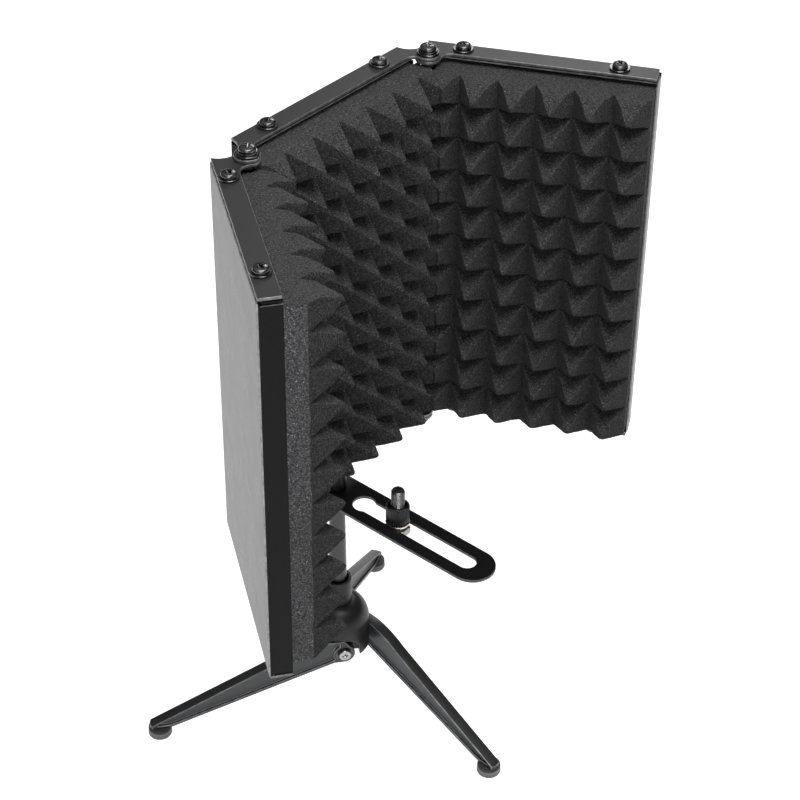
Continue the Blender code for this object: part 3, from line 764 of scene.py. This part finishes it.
def foam_mesh(whole, notches, left, right, high, planes, side):
    """The sheet of foam cut to its panel, in the tray's frame; its free side has the second material, a
    lighter copy that paints the light falling on that side.
    """
    mesh = carved(whole, *notches)

    def cut(bm):
        bm.from_mesh(mesh)
        limits = [((left, 0, 0), (-1, 0, 0)), ((right, 0, 0), (1, 0, 0)), ((0, 0, high), (0, 0, 1))]
        for point, normal in limits + planes:
            bmesh.ops.bisect_plane(bm, geom=bm.verts[:] + bm.edges[:] + bm.faces[:],
                                   plane_co=point, plane_no=normal, clear_outer=True)
            bmesh.ops.holes_fill(bm, edges=[e for e in bm.edges if e.is_boundary], sides=0)
        bmesh.ops.triangulate(bm, faces=[f for f in bm.faces if len(f.verts) > 4])
        if side < 0:
            bmesh.ops.scale(bm, vec=(-1, 1, 1), verts=bm.verts)
            bmesh.ops.reverse_faces(bm, faces=bm.faces)
        bmesh.ops.recalc_face_normals(bm, faces=bm.faces)
        for face in bm.faces:
            # the free side gets a lighter copy of the foam: painted light
            face.material_index = 1 if face.normal.x * side > 0.99 else 0

    return mesh_of(cut)


def mitre(pivot, half_fold, outward):
    """The plane through a hinge where two foams meet, as a point and a normal, less their gap."""
    normal = Vector((outward * cos(half_fold), -sin(half_fold), 0))
    return (Vector((*pivot, 0)) - normal * (GAP / 2 + 0.05 * MM), normal)


def foams():
    # the second look is the same foam three times lighter, painting the light on its free side
    look = (open_cell("foam_cells", 0.066), open_cell("foam_side_painted_light", 0.20))
    half = PANEL_WIDTH / 2
    inset = SHEET + GAP
    width = FOAM_COLUMNS * FOAM_PITCH
    planes = [mitre((-PIVOT_X, PIVOT_Y), LEFT_FOLD / 2, -1), mitre((PIVOT_X, PIVOT_Y), RIGHT_FOLD / 2, 1)]
    high = PANEL_HEIGHT + LAP - FOAM_TOP_CLEAR
    notches = foam_notches(half - inset, (PIVOT_X, PIVOT_Y), 1, high)
    notches += foam_notches(inset - half, (-PIVOT_X, PIVOT_Y), -1, high)
    mesh = foam_mesh(foam_block(BACK_FOAM_SHIFT - width / 2, 3.0), notches, -half - FOAM_SWELL,
                     half + FOAM_SWELL, high, planes, 1)
    blocks = [("back", mesh, UPPER @ move(0, 0, WING_BASE), "upper")]
    for name, side in SIDE.items():
        outer = PANEL_DEPTH + WING_PIVOT_IN
        far = WING_NEAR + PANEL_WIDTH - inset
        high = PANEL_HEIGHT - FOAM_TOP_CLEAR
        notches = foam_notches(WING_NEAR + inset, (0, -outer), -1, high)
        mesh = foam_mesh(foam_block(far - width, 11.0 + 5 * side), notches, WING_NEAR - FOAM_SWELL, far,
                         high, [mitre((0, -outer), FOLD[name] / 2, -1)], side)
        blocks.append((name, mesh, WING[name] @ move(0, outer, 0), f"{name}_wing"))
    for name, mesh, place, body in blocks:
        pad = piece(f"{name}_foam_block", mesh, place, body, look, f"{name}_foam", smooth=48)


# ---- strips

def ear(pivot, corner, rim_y):
    """A strip's round hinge ear, with a fillet on either side, from its corner to its inner rim."""
    spread = EAR_RADIUS + EAR_OUTER_FILLET
    offset = (corner[0] - pivot[0], corner[1] - pivot[1])
    distance = hypot(*offset)
    along = (distance ** 2 + spread ** 2 - EAR_OUTER_FILLET ** 2) / (2 * distance)
    across = sqrt(spread ** 2 - along ** 2)
    unit = (offset[0] / distance, offset[1] / distance)
    outer = (pivot[0] + unit[0] * along - unit[1] * across,
             pivot[1] + unit[1] * along + unit[0] * across)
    drop = rim_y - EAR_INNER_FILLET - pivot[1]
    run = sqrt((EAR_RADIUS + EAR_INNER_FILLET) ** 2 - drop ** 2)
    inner = (pivot[0] + run, rim_y - EAR_INNER_FILLET)
    points = arc(outer, EAR_OUTER_FILLET, angle_from(outer, corner), angle_from(outer, pivot), 14)
    first = angle_from(pivot, outer)
    last = angle_from(pivot, inner)
    points += arc(pivot, EAR_RADIUS, first, last + (tau if last < first else 0), 36)[1:]
    begin = angle_from(inner, pivot) % tau
    points += arc(inner, EAR_INNER_FILLET, begin, radians(90), 12)[1:]
    return points


def wing_strip_loops():
    rim = WING_PIVOT_IN
    outer = WING_PIVOT_IN + PANEL_DEPTH - STRIP_INSET
    far = WING_NEAR + PANEL_WIDTH - 1.5 * STRIP_INSET
    corner = 0.8 * MM
    outline = ear((0, 0), (WING_NEAR, outer), rim)
    outline += arc((far - corner, rim + corner), corner, -pi / 2, 0, 4)
    outline += arc((far - corner, outer - corner), corner, 0, pi / 2, 4)
    middle = rim + PANEL_DEPTH / 2
    holes = ((WING_NEAR + STRIP_HOLE_HINGE, middle),
             (WING_NEAR + PANEL_WIDTH - STRIP_HOLE_FREE, middle), (0, 0))
    return [outline] + [circle(hole, HOLE_RADIUS) for hole in holes]


def back_strip_loops(with_lug):
    half = PANEL_WIDTH / 2
    left_end = ear((-PIVOT_X, PIVOT_Y), (-half, -STRIP_INSET), -PANEL_DEPTH)
    right_end = mirrored(reversed(left_end))
    lug = []
    if with_lug:
        half_angle = acos((PANEL_DEPTH + POST_Y) / LUG_RADIUS)
        lug = arc((0, POST_Y), LUG_RADIUS, -pi / 2 - half_angle, half_angle - pi / 2, 28)
    outline = left_end + lug + right_end
    holes = [(side * x, y) for x, y in ((half - STRIP_HOLE_HINGE, -PANEL_DEPTH / 2), (PIVOT_X, PIVOT_Y))
             for side in (1, -1)]
    loops = [outline] + [circle(hole, HOLE_RADIUS) for hole in holes]
    if with_lug:
        loops.append(circle((0, POST_Y), HOLE_RADIUS + GAP))
    return loops


def strips():
    # rim paints a highlight on the strips' cut edges
    rim = edge_highlight_coat("strip_edge_highlight", 0.22)
    coat = (powder_coat("strip_coat", 0.028, 0.42, 0.40), rim)
    for end, z, lug in (("top", BACK_HIGH + GAP + STRIP / 2, False),
                        ("bottom", BACK_LOW - GAP - STRIP / 2, True)):
        mesh = plate(back_strip_loops(lug), STRIP_SHEET)
        piece(f"back_{end}_strip_plate.001", mesh, UPPER @ move(0, 0, z), "upper", coat,
              f"back_{end}_strip", flat_sheet=True)
    loops = wing_strip_loops()
    for name, side in SIDE.items():
        shape = [mirrored(points) for points in loops] if side < 0 else loops
        mesh = plate(shape, STRIP_SHEET)
        for end, z in (("top", PANEL_HEIGHT + GAP + STRIP / 2), ("bottom", -GAP - STRIP / 2)):
            piece(f"{name}_{end}_strip_plate", mesh, WING[name] @ move(0, 0, z), f"{name}_wing", coat,
                  f"{name}_{end}_strip", flat_sheet=True)


# ---- fasteners

def pan_head(radius, height, recess=3.3 * MM, share=0.62):
    """A pan head with a cross recess; z = 0 is its bearing face. Its dome starts at share of the height."""
    crown = height * share
    profile = [(0, height)]
    for i in range(1, 9):
        turn = i / 8 * pi / 2
        profile.append((radius * 0.93 * sin(turn), crown + (height - crown) * cos(turn)))
    profile += [(radius * 0.98, crown * 0.86), (radius, crown * 0.6), (radius, 0.25 * MM),
                (radius - 0.25 * MM, 0), (0, 0)]
    head = lathe(profile, 56)
    half = 0.6 * MM
    floor, flare = 0.42, 2.38  # the recess narrows to its floor
    quarter = [(recess, -half), (recess, half), (half * 1.5, half * 1.5)]
    cross = []
    for turn in range(4):
        cross += quarter
        quarter = [(-y, x) for x, y in quarter]
    tool = prism([(x * floor, y * floor) for x, y in cross], height - 2.1 * MM,
                 height + 0.4 * MM, flare)
    return modified(carved(head, tool), bevel_step(0.07 * MM, 1, 40))


def washer_mesh(radius, bore, low, high, edge=0.18 * MM):
    profile = [(bore, high), (radius - edge, high), (radius, high - edge), (radius, low + edge),
               (radius - edge, low), (bore, low)]
    return lathe(profile, 64)


def spring_washer(radius, bore, low, thickness):
    """A split spring washer: one turn of square wire, its ends a little apart."""
    count = 60
    gap = radians(7)
    verts, faces = [], []
    for i in range(count + 1):
        angle = gap / 2 + (tau - gap) * i / count
        lift = low + 0.25 * MM * i / count
        for r, z in ((bore, lift), (radius, lift), (radius, lift + thickness), (bore, lift + thickness)):
            verts.append((r * cos(angle), r * sin(angle), z))
    for i in range(count):
        a, b = 4 * i, 4 * i + 4
        faces += [[a + k, a + (k + 1) % 4, b + (k + 1) % 4, b + k] for k in range(4)]
    faces += [[3, 2, 1, 0], [4 * count + k for k in range(4)]]
    return modified(from_lists(verts, faces), bevel_step(0.12 * MM, 2, 50))


def screw_mesh(head_radius, washer_radius, washer, length, sprung):
    """A screw with its washer, or with a flat washer under a spring washer; z = 0 is what it bears on."""
    parts = [moved(pan_head(head_radius, HEAD_HEIGHT), move(0, 0, washer))]
    if sprung:
        flat = washer * 0.46
        parts.append(washer_mesh(washer_radius, SHANK_RADIUS, 0, flat))
        parts.append(spring_washer(washer_radius * 0.83, SHANK_RADIUS, flat, washer - flat - 0.25 * MM))
    else:
        parts.append(washer_mesh(washer_radius, SHANK_RADIUS, 0, washer))
    parts.append(thread(SHANK_RADIUS, -length, 0.2 * MM, M5_PITCH, 28, 0))
    return joined(*parts)


def hex_nut(radius, bore, height):
    """A hexagon nut, chamfered at both ends, with a plain bore flared at its mouths. It stands on z = 0."""
    body = prism(circle((0, 0), radius, 6), 0, height)
    flat = radius * 0.90
    wide = radius + 0.01 * MM
    slope = (radius - flat) * 0.6
    cone = lathe([(0, height), (flat, height), (wide, height - slope), (wide, slope), (flat, 0),
                  (0, 0)], 60)
    mouth = bore + 0.5 * MM
    hole = lathe([(0, height + MM), (mouth, height + MM), (mouth, height), (bore, height - 0.5 * MM),
                  (bore, 0.5 * MM), (mouth, 0), (mouth, -MM), (0, -MM)], 40)
    return modified(carved(carved(body, cone, operation="INTERSECT"), hole), bevel_step(0.1 * MM, 2, 25))


def fasteners():
    bright = plated("screw_plate", 0.15, 0.24)
    dark = plated("nut_plate", 0.16, 0.32)
    length = STRIP + SHEET + CLINCH_HEIGHT
    strip_screw = screw_mesh(HEAD_RADIUS, WASHER_RADIUS, WASHER_THICKNESS, length, False)
    grip = 2 * STRIP + 3 * GAP
    pivot_screw = screw_mesh(PIVOT_HEAD_RADIUS, PIVOT_WASHER_RADIUS, PIVOT_WASHER_THICKNESS,
                             grip + GAP + NUT_HEIGHT, True)
    nut = hex_nut(NUT_RADIUS, HOLE_RADIUS, NUT_HEIGHT)
    half = PANEL_WIDTH / 2
    turns = iter(radians(17 + 47 * i) for i in range(40))  # no two screws stop alike

    def pair(name, body, base, places, y, bottom, top):
        for index, x in enumerate(places, start=1):
            for end, z, flip in (("top", top + 2 * GAP + STRIP, Matrix()),
                                 ("bottom", bottom - 2 * GAP - STRIP, UPSIDE_DOWN)):
                node = f"{name}_{end}_screw_{index}"
                place = base @ move(x, y, z) @ flip @ turn_z(next(turns))
                piece(node + "_pan", strip_screw, place, body, bright, node)

    pair("back", "upper", UPPER, [STRIP_HOLE_HINGE - half, half - STRIP_HOLE_HINGE], -PANEL_DEPTH / 2,
         BACK_LOW, BACK_HIGH)
    above, below = BACK_HIGH + 2 * GAP + STRIP, BACK_LOW - 2 * GAP - STRIP
    for name, side in SIDE.items():
        places = [side * (WING_NEAR + STRIP_HOLE_HINGE),
                  side * (WING_NEAR + PANEL_WIDTH - STRIP_HOLE_FREE)]
        pair(name, f"{name}_wing", WING[name], places, WING_PIVOT_IN + PANEL_DEPTH / 2, 0, PANEL_HEIGHT)
        for end, z, nut_z, flip in (("top", above, above - grip - NUT_HEIGHT, Matrix()),
                                    ("bottom", below, below + grip, UPSIDE_DOWN)):
            place = UPPER @ move(side * PIVOT_X, PIVOT_Y, z) @ flip @ turn_z(next(turns))
            node = f"{name}_hinge_screw_{end}"
            piece(node + "_pan", pivot_screw, place, "upper", bright, node)
            node = f"{name}_hinge_nut_{end}"
            place = UPPER @ move(side * PIVOT_X, PIVOT_Y, nut_z) @ turn_z(next(turns))
            piece(node + "_hex", nut, place, "upper", dark, node)


# ---- arm, post and stud

def arm():
    half = ARM_WIDTH / 2
    corner = 5 * MM
    outline = arc((0, half - ARM_REACH), half, pi, tau, 40)
    outline += arc((half - corner, ARM_REAR - corner), corner, 0, pi / 2, 8)
    outline += arc((corner - half, ARM_REAR - corner), corner, pi / 2, pi, 8)
    meet = asin(SLOT_HALF_WIDTH / SLOT_END_RADIUS)
    slot = arc((0, -SLOT_NEAR), SLOT_END_RADIUS, meet - pi / 2, 1.5 * pi - meet, 36)
    slot += arc((0, SLOT_HALF_WIDTH - SLOT_FAR), SLOT_HALF_WIDTH, pi, tau, 20)
    mesh = plate([outline, circle((0, 0), HOLE_RADIUS + GAP), slot], ARM_THICKNESS)
    # the second look paints a highlight on the arm's cut edges
    coat = (powder_coat("arm_coat", 0.008, 0.34, 0.35), edge_highlight_coat("arm_edge_highlight", 0.10, 0.4))
    piece("arm_bar", mesh, POST @ move(0, 0, ARM_TOP - ARM_THICKNESS / 2), "upper", coat, "arm_plate",
          flat_sheet=True)


def post_and_spacer():
    low = ARM_TOP + GAP
    high = BACK_LOW - 2 * GAP - STRIP
    bore = HOLE_RADIUS + GAP
    edge = 0.5 * MM
    ring = [(bore + edge, high), (SPACER_RADIUS - edge, high), (SPACER_RADIUS, high - edge),
            (SPACER_RADIUS, low + edge), (SPACER_RADIUS - edge, low), (bore + edge, low),
            (bore, low + edge), (bore, high - edge)]
    piece("spacer_turned", lathe(ring, 64), POST, "upper",
          plated("spacer_oxide", 0.035, 0.36), "spacer_sleeve")

    top = ARM_TOP - ARM_THICKNESS - GAP
    bolt_top = BACK_LOW - 2 * GAP
    profile = [(0, top), (POST_TOP_RADIUS - edge, top), (POST_TOP_RADIUS, top - edge),
               (POST_TOP_RADIUS, top - 6 * MM), (POST_TOP_RADIUS + 0.02 * MM, top - 6.2 * MM),
               (POST_FOOT_RADIUS, SOCKET_TOP + 2 * MM), (POST_FOOT_RADIUS, POST_BOTTOM + edge),
               (POST_FOOT_RADIUS - edge, POST_BOTTOM), (0, POST_BOTTOM)]
    bolt = thread(HOLE_RADIUS, top - 0.2 * MM, bolt_top, M5_PITCH, 32)
    piece("post_turned", joined(lathe(profile, 72), bolt), POST, "upper",
          plated("post_plate", 0.07, 0.36, (1, 1, 8)), "post")


def microphone_stud():
    place = POST @ move(0, -STUD_REACH, ARM_TOP)
    low = 2 * GAP + STUD_WASHER_THICKNESS
    high = low + KNURL_HEIGHT
    nut_low = -ARM_THICKNESS - GAP - LOCK_NUT_HEIGHT
    bore = STUD_RADIUS + GAP
    rod = thread(STUD_RADIUS, nut_low - GAP - 2.5 * MM, STUD_TOP, STUD_PITCH, 48, 0.9 * MM)
    piece("mic_stud_threaded", rod, place, "stud", plated("stud_plate", 0.30, 0.28), "mic_stud")
    disc = washer_mesh(STUD_WASHER_RADIUS, bore, GAP, low - GAP, 0.35 * MM)
    brass = plated("washer_brass", 0.82, 0.2, tint=(1, 0.93, 0.72))
    piece("stud_washer_disc", disc, place, "stud", brass, "stud_washer")
    lock = hex_nut(LOCK_NUT_RADIUS, bore, LOCK_NUT_HEIGHT)
    piece("stud_lock_hex", lock, place @ move(0, 0, nut_low), "stud", plated("lock_plate", 0.30, 0.34),
          "stud_lock_nut")

    def ribbed(radius, angle):
        if radius < KNURL_RADIUS - 1.0 * MM:
            return radius
        return radius - KNURL_DEPTH * abs(sin(KNURL_RIBS * angle / 2))

    edge = 0.9 * MM
    outer = KNURL_RADIUS
    profile = [(bore, high - 0.4 * MM), (bore + 0.4 * MM, high), (outer - 1.6 * MM, high),
               (outer - edge * 0.4, high - edge * 0.45), (outer, high - edge), (outer, low + edge),
               (outer - edge * 0.4, low + edge * 0.45), (outer - 1.6 * MM, low), (bore + 0.4 * MM, low),
               (bore, low + 0.4 * MM)]
    ring = lathe(profile, KNURL_RIBS * 8, radius_at=ribbed)
    piece("knurled_ring", ring, place, "knurl", plated("knurl_oxide", 0.05, 0.35), "knurled_nut")


# ---- tripod

def leg_place(angle):
    """A leg's frame: its origin on the leg's pivot, +X out towards the foot."""
    turn = radians(angle)
    return POST @ move(-LEG_OFFSET * sin(turn), LEG_OFFSET * cos(turn),
                       LEG_PIVOT_HEIGHT) @ turn_z(turn)


def hub_meshes():
    """The hub: a smooth casting with three arched leg channels, and its turned socket."""
    rise = HUB_TOP - HUB_DOME_BASE
    spread = HUB_RADIUS - SOCKET_RADIUS
    profile = [(0, POST_BOTTOM - GAP), (SOCKET_BORE, POST_BOTTOM - GAP), (SOCKET_BORE, HUB_TOP)]
    profile += [(SOCKET_RADIUS + spread * sin(radians(5 * i)),
                 HUB_DOME_BASE + rise * cos(radians(5 * i))) for i in range(19)]
    profile += [(HUB_RADIUS + 0.4 * MM, HUB_BOTTOM), (0, HUB_BOTTOM)]
    body = lathe(profile, 120)
    side = LEG_BOSS_RADIUS + 4.0 * MM
    roof = LEG_SHOULDER + 0.8 * MM
    arch = arc((0, 0), side, pi, radians(100), 14)
    outline = [(-side, -40 * MM)] + arch + [(4 * MM, roof), (40 * MM, roof), (40 * MM, -40 * MM)]
    near = LEG_OFFSET - LEG_THICKNESS / 2 - GAP
    tools = []
    for angle in LEG_ANGLES:
        channel = prism(outline, 0, HUB_RADIUS + 20 * MM)
        channel.transform(move(0, near - LEG_OFFSET, 0) @ Matrix.Scale(-1, 4, (0, 1, 0)) @ UPRIGHT)
        channel.flip_normals()
        tools.append(moved(channel, POST.inverted() @ leg_place(angle)))
    cast = modified(carved(body, *tools), ("REMESH", {"mode": "VOXEL", "voxel_size": 0.5 * MM}),
                    ("SMOOTH", {"factor": 0.5, "iterations": 5}))
    edge = 0.9 * MM
    ring = [(SOCKET_BORE + edge * 0.6, SOCKET_TOP), (SOCKET_RADIUS - edge * 0.8, SOCKET_TOP),
            (SOCKET_RADIUS - edge * 0.25, SOCKET_TOP - edge * 0.3), (SOCKET_RADIUS, SOCKET_TOP - edge),
            (SOCKET_RADIUS + 0.25 * MM, HUB_TOP + 2 * MM), (SOCKET_RADIUS + 0.1 * MM, HUB_TOP + GAP),
            (SOCKET_BORE, HUB_TOP + GAP), (SOCKET_BORE, SOCKET_TOP - edge)]
    return cast, lathe(ring, 80)


FOOT_TOP = FOOT_HEIGHT + GAP - LEG_PIVOT_HEIGHT  # from the pivot
LEG_END = LEG_LENGTH + FOOT_RADIUS - 1 * MM


def leg_top(x):
    """Height of the leg's upper edge above its pivot."""
    z1 = LEG_SHOULDER * 0.76
    slope = (FOOT_TOP + LEG_TIP * 0.75 - z1) / (LEG_END - LEG_SHOULDER_REACH)
    line = z1 + slope * (x - LEG_SHOULDER_REACH)
    blend = 9 * MM
    h = min(1, max(0, 0.5 + 0.5 * (line - LEG_SHOULDER) / blend))
    return line * (1 - h) + LEG_SHOULDER * h - blend * 0.35 * h * (1 - h)


def leg_bottom(x):
    """Height of the leg's lower edge above its pivot: a straight taper down to the foot's top."""
    landing = LEG_LENGTH - FOOT_RADIUS * 0.9
    heel = -LEG_BOSS_RADIUS * 0.95
    share = (x - LEG_BOSS_RADIUS) / (landing - LEG_BOSS_RADIUS)
    return max(heel + (FOOT_TOP - heel) * share, FOOT_TOP)


def leg_pocket():
    """The outline of the pocket in a leg's side: round the boss and along both edges."""
    xs = [9.5 * MM + (LEG_END - 15.5 * MM) * i / 36 for i in range(37)]
    xs = [x for x in xs if leg_top(x) - leg_bottom(x) > 4.4 * MM]
    around = arc((0, 0), LEG_BOSS_RADIUS + 0.4 * MM, radians(64), -radians(30), 12)
    lower = [(x, leg_bottom(x) + 2.5 * MM) for x in xs]
    upper = [(x, leg_top(x) - 1.5 * MM) for x in [3.4 * MM] + xs]
    return around + lower + upper[::-1]


def leg_mesh():
    """A cast leg: boss, deep shoulder, long taper, with a pocket in each side.

    Its rounded edges have the second material, a painted edge highlight, and its pockets' floors the third,
    a lighter bluish paint that stands in for a reflection."""
    count = 40
    xs = [LEG_BOSS_RADIUS + (LEG_END - LEG_BOSS_RADIUS) * i / count for i in range(count + 1)]
    outline = arc((0, 0), LEG_BOSS_RADIUS, radians(120), radians(262), 22)
    outline += [(x, leg_bottom(x)) for x in xs]
    outline += [(x, leg_top(x)) for x in reversed(xs)] + [(0, LEG_SHOULDER)]
    half = LEG_THICKNESS / 2
    body = prism(outline, -half, half)
    hole = prism(circle((0, 0), HOLE_RADIUS), -half - MM, half + MM)
    plan = [(-20 * MM, -half - MM)]
    plan += arc((LEG_LENGTH - 1.2 * MM, 0), FOOT_RADIUS, radians(-40), radians(40), 16)
    plan += [(-20 * MM, half + MM)]
    mask = moved(prism(plan, -80 * MM, 40 * MM), turn_x(-90))
    hollows = ((leg_pocket(), LEG_POCKET_DEPTH), (circle((0, 0), LEG_SCREW_SEAT, 48), LEG_SEAT_DEPTH))
    tools = []
    for side in (1, -1):
        for edge, depth in hollows:
            low, high = sorted((side * (half - depth), side * (half + 2 * MM)))
            tools.append(prism(edge, low, high))
    shaped = carved(carved(body, *tools, hole), mask, operation="INTERSECT")
    shaped = modified(shaped, bevel_step(0.5 * MM, 3, 38, True))
    # pocket floors get a lighter bluish copy of the leg paint: a painted reflection
    for face in shaped.polygons:
        if abs(face.normal.z) > 0.9 and abs(face.center.z) < half - 1.5 * MM and face.center.x > 8 * MM:
            face.material_index = 2
    return shaped


def leg_screw_mesh():
    """A flat pan head with a cross recess and a plain shank; +Z is away from the hub."""
    head = moved(pan_head(LEG_SCREW_HEAD, 1.9 * MM, 2.6 * MM, 0.86), move(0, 0, LEG_THICKNESS / 2 + GAP))
    low = 4.5 * MM - LEG_OFFSET
    shank = lathe([(0, LEG_THICKNESS / 2 + GAP), (SHANK_RADIUS, LEG_THICKNESS / 2 + GAP),
                   (SHANK_RADIUS, low + 0.5 * MM), (SHANK_RADIUS - 0.5 * MM, low), (0, low)], 40)
    return joined(head, shank)


def foot_meshes():
    """A foot: its soft ring below and a thin cap above."""
    split = FOOT_HEIGHT - 2.0 * MM
    r = FOOT_RADIUS
    ring = [(0, split), (r - 0.5 * MM, split), (r - 0.15 * MM, split - 0.3 * MM), (r, 1.2 * MM),
            (r - 0.35 * MM, 0.35 * MM), (r - 0.9 * MM, 0), (r - 2.6 * MM, 0), (r - 2.9 * MM, 0.5 * MM),
            (0, 0.5 * MM)]
    cap = [(0, FOOT_HEIGHT), (r - 1.2 * MM, FOOT_HEIGHT), (r - 0.6 * MM, FOOT_HEIGHT - 0.15 * MM),
           (r - 0.25 * MM, FOOT_HEIGHT - 0.6 * MM), (r - 0.2 * MM, split + 0.3 * MM),
           (r - 0.5 * MM, split + 0.05 * MM), (0, split + 0.05 * MM)]
    return lathe(ring, 64), lathe(cap, 64)


def tripod():
    paint = cast_paint("casting_paint", 0.013, 0.38, specular=0.35)
    # painted light: bright edges as highlights, and lighter bluish pocket floors as a painted reflection of
    # the floor
    leg_looks = (cast_paint("leg_paint", 0.016, 0.34), edge_highlight_coat("leg_edge_highlight", 0.26, 0.34),
                 cast_paint("leg_pocket", 0.085, 0.40, (0.92, 1.0, 1.1)))
    hub, socket = hub_meshes()
    piece("hub_casting", hub, POST, "stand", paint, "tripod_hub", smooth=60)
    piece("socket_turned", socket, POST, "stand", paint, "socket_sleeve")
    leg, screw = leg_mesh(), leg_screw_mesh()
    ring, cap = foot_meshes()
    bright = plated("leg_screw_plate", 0.40, 0.28)
    rubber = soft_rubber("foot_rubber", 0.38, 0.55)
    dark = soft_rubber("foot_cap_plastic", 0.045, 0.42)
    for number, (letter, angle) in enumerate(zip("abc", LEG_ANGLES), start=1):
        place = leg_place(angle)
        body = f"leg_{letter}"
        piece(f"leg_{number}_casting", leg, place @ UPRIGHT, body, leg_looks, f"leg_{number}", smooth=30)
        foot = place @ move(LEG_LENGTH, 0, -LEG_PIVOT_HEIGHT)
        piece(f"foot_{number}_ring", ring, foot, body, rubber, f"foot_{number}")
        piece(f"foot_{number}_cap", cap, foot, body, dark, f"foot_{number}", False)
        piece(f"leg_screw_{number}_pan", screw, place @ turn_x(-90), "stand", bright,
              f"leg_screw_{number}")


# ---- floor and light, in metres

FLOOR_REACH = 40
BACKDROP_RADIUS = 15.5
BACKDROP_HEIGHT = 12
SKY = ((0.0, 0.0), (0.50, 0.03), (0.66, 0.12), (1.0, 0.95))  # brightness from straight down to up
SKY_STRENGTH = 0.50
SOFTBOXES = (("top_softbox", (-0.25, -0.50, 1.9), (0, -0.02, 0.3), 1.0, 22),  # place, aim, size, watts
             ("left_softbox", (-1.5, -1.4, 1.2), (-0.1, 0, 0.3), 0.9, 9),
             ("back_softbox", (2.05, 1.2, 1.72), (0.12, 0, 0.45), 0.6, 7))


def floor_and_backdrop():
    """A wide pale floor and a pale wall round it, which don't light the object's matt surfaces."""
    look = Look("floor_pale", roughness=0.8, specular=0.1)
    look.set("Base Color", look.mix(look.noise(3, 2), grey(0.60), grey(0.63)))
    look.set("Emission Color", (1, 1, 1, 1))
    look.set("Emission Strength", 0.9)
    front, back = BACKDROP_RADIUS, BACKDROP_RADIUS + 0.5
    floor = block((-FLOOR_REACH, -FLOOR_REACH, -0.02), (FLOOR_REACH, FLOOR_REACH, 0))
    wall = lathe([(back, BACKDROP_HEIGHT), (front, BACKDROP_HEIGHT), (front, -0.01), (back, -0.01)], 96)
    for name, mesh in (("floor", floor), ("backdrop", wall)):
        mesh.materials.append(look.material)
        shown = linked(name, mesh)
        shown.visible_diffuse = False
        shown.visible_glossy = mesh == floor
        shown.visible_shadow = mesh == floor


def sky():
    """A soft even sky, brightest overhead."""
    world = bpy.data.worlds.new("world")
    bpy.context.scene.world = world
    nodes = Nodes(world, "Background")
    direction = nodes.node("TexCoord", "Generated", {})
    upward = nodes.node("SeparateXYZ", "Z", {"Vector": direction})
    share = nodes.node("MapRange", "Result", {"Value": upward, "From Min": -1})
    colour = nodes.node("ValToRGB", "Color", {"Fac": share})
    steps = colour.node.color_ramp.elements
    while len(steps) < len(SKY):
        steps.new(0.5)
    for step, (position, value) in zip(steps, SKY):
        step.position = position
        step.color = (value, value, value, 1)
    nodes.set("Color", colour)
    nodes.set("Strength", SKY_STRENGTH)


def softboxes():
    for name, place, aim, size, power in SOFTBOXES:
        data = bpy.data.lights.new(name, "AREA")
        data.size = size
        data.energy = power
        lamp = linked(name, data)
        lamp.location = place
        lamp.rotation_euler = (Vector(aim) - Vector(place)).to_track_quat("-Z", "Y").to_euler()


def plain_colours():
    settings = bpy.context.scene.view_settings
    settings.view_transform = "Standard"
    settings.look = "None"
    settings.exposure = 0
    settings.gamma = 1


camera()
trays()
foams()
strips()
fasteners()
arm()
post_and_spacer()
microphone_stud()
tripod()
floor_and_backdrop()
sky()
softboxes()
plain_colours()
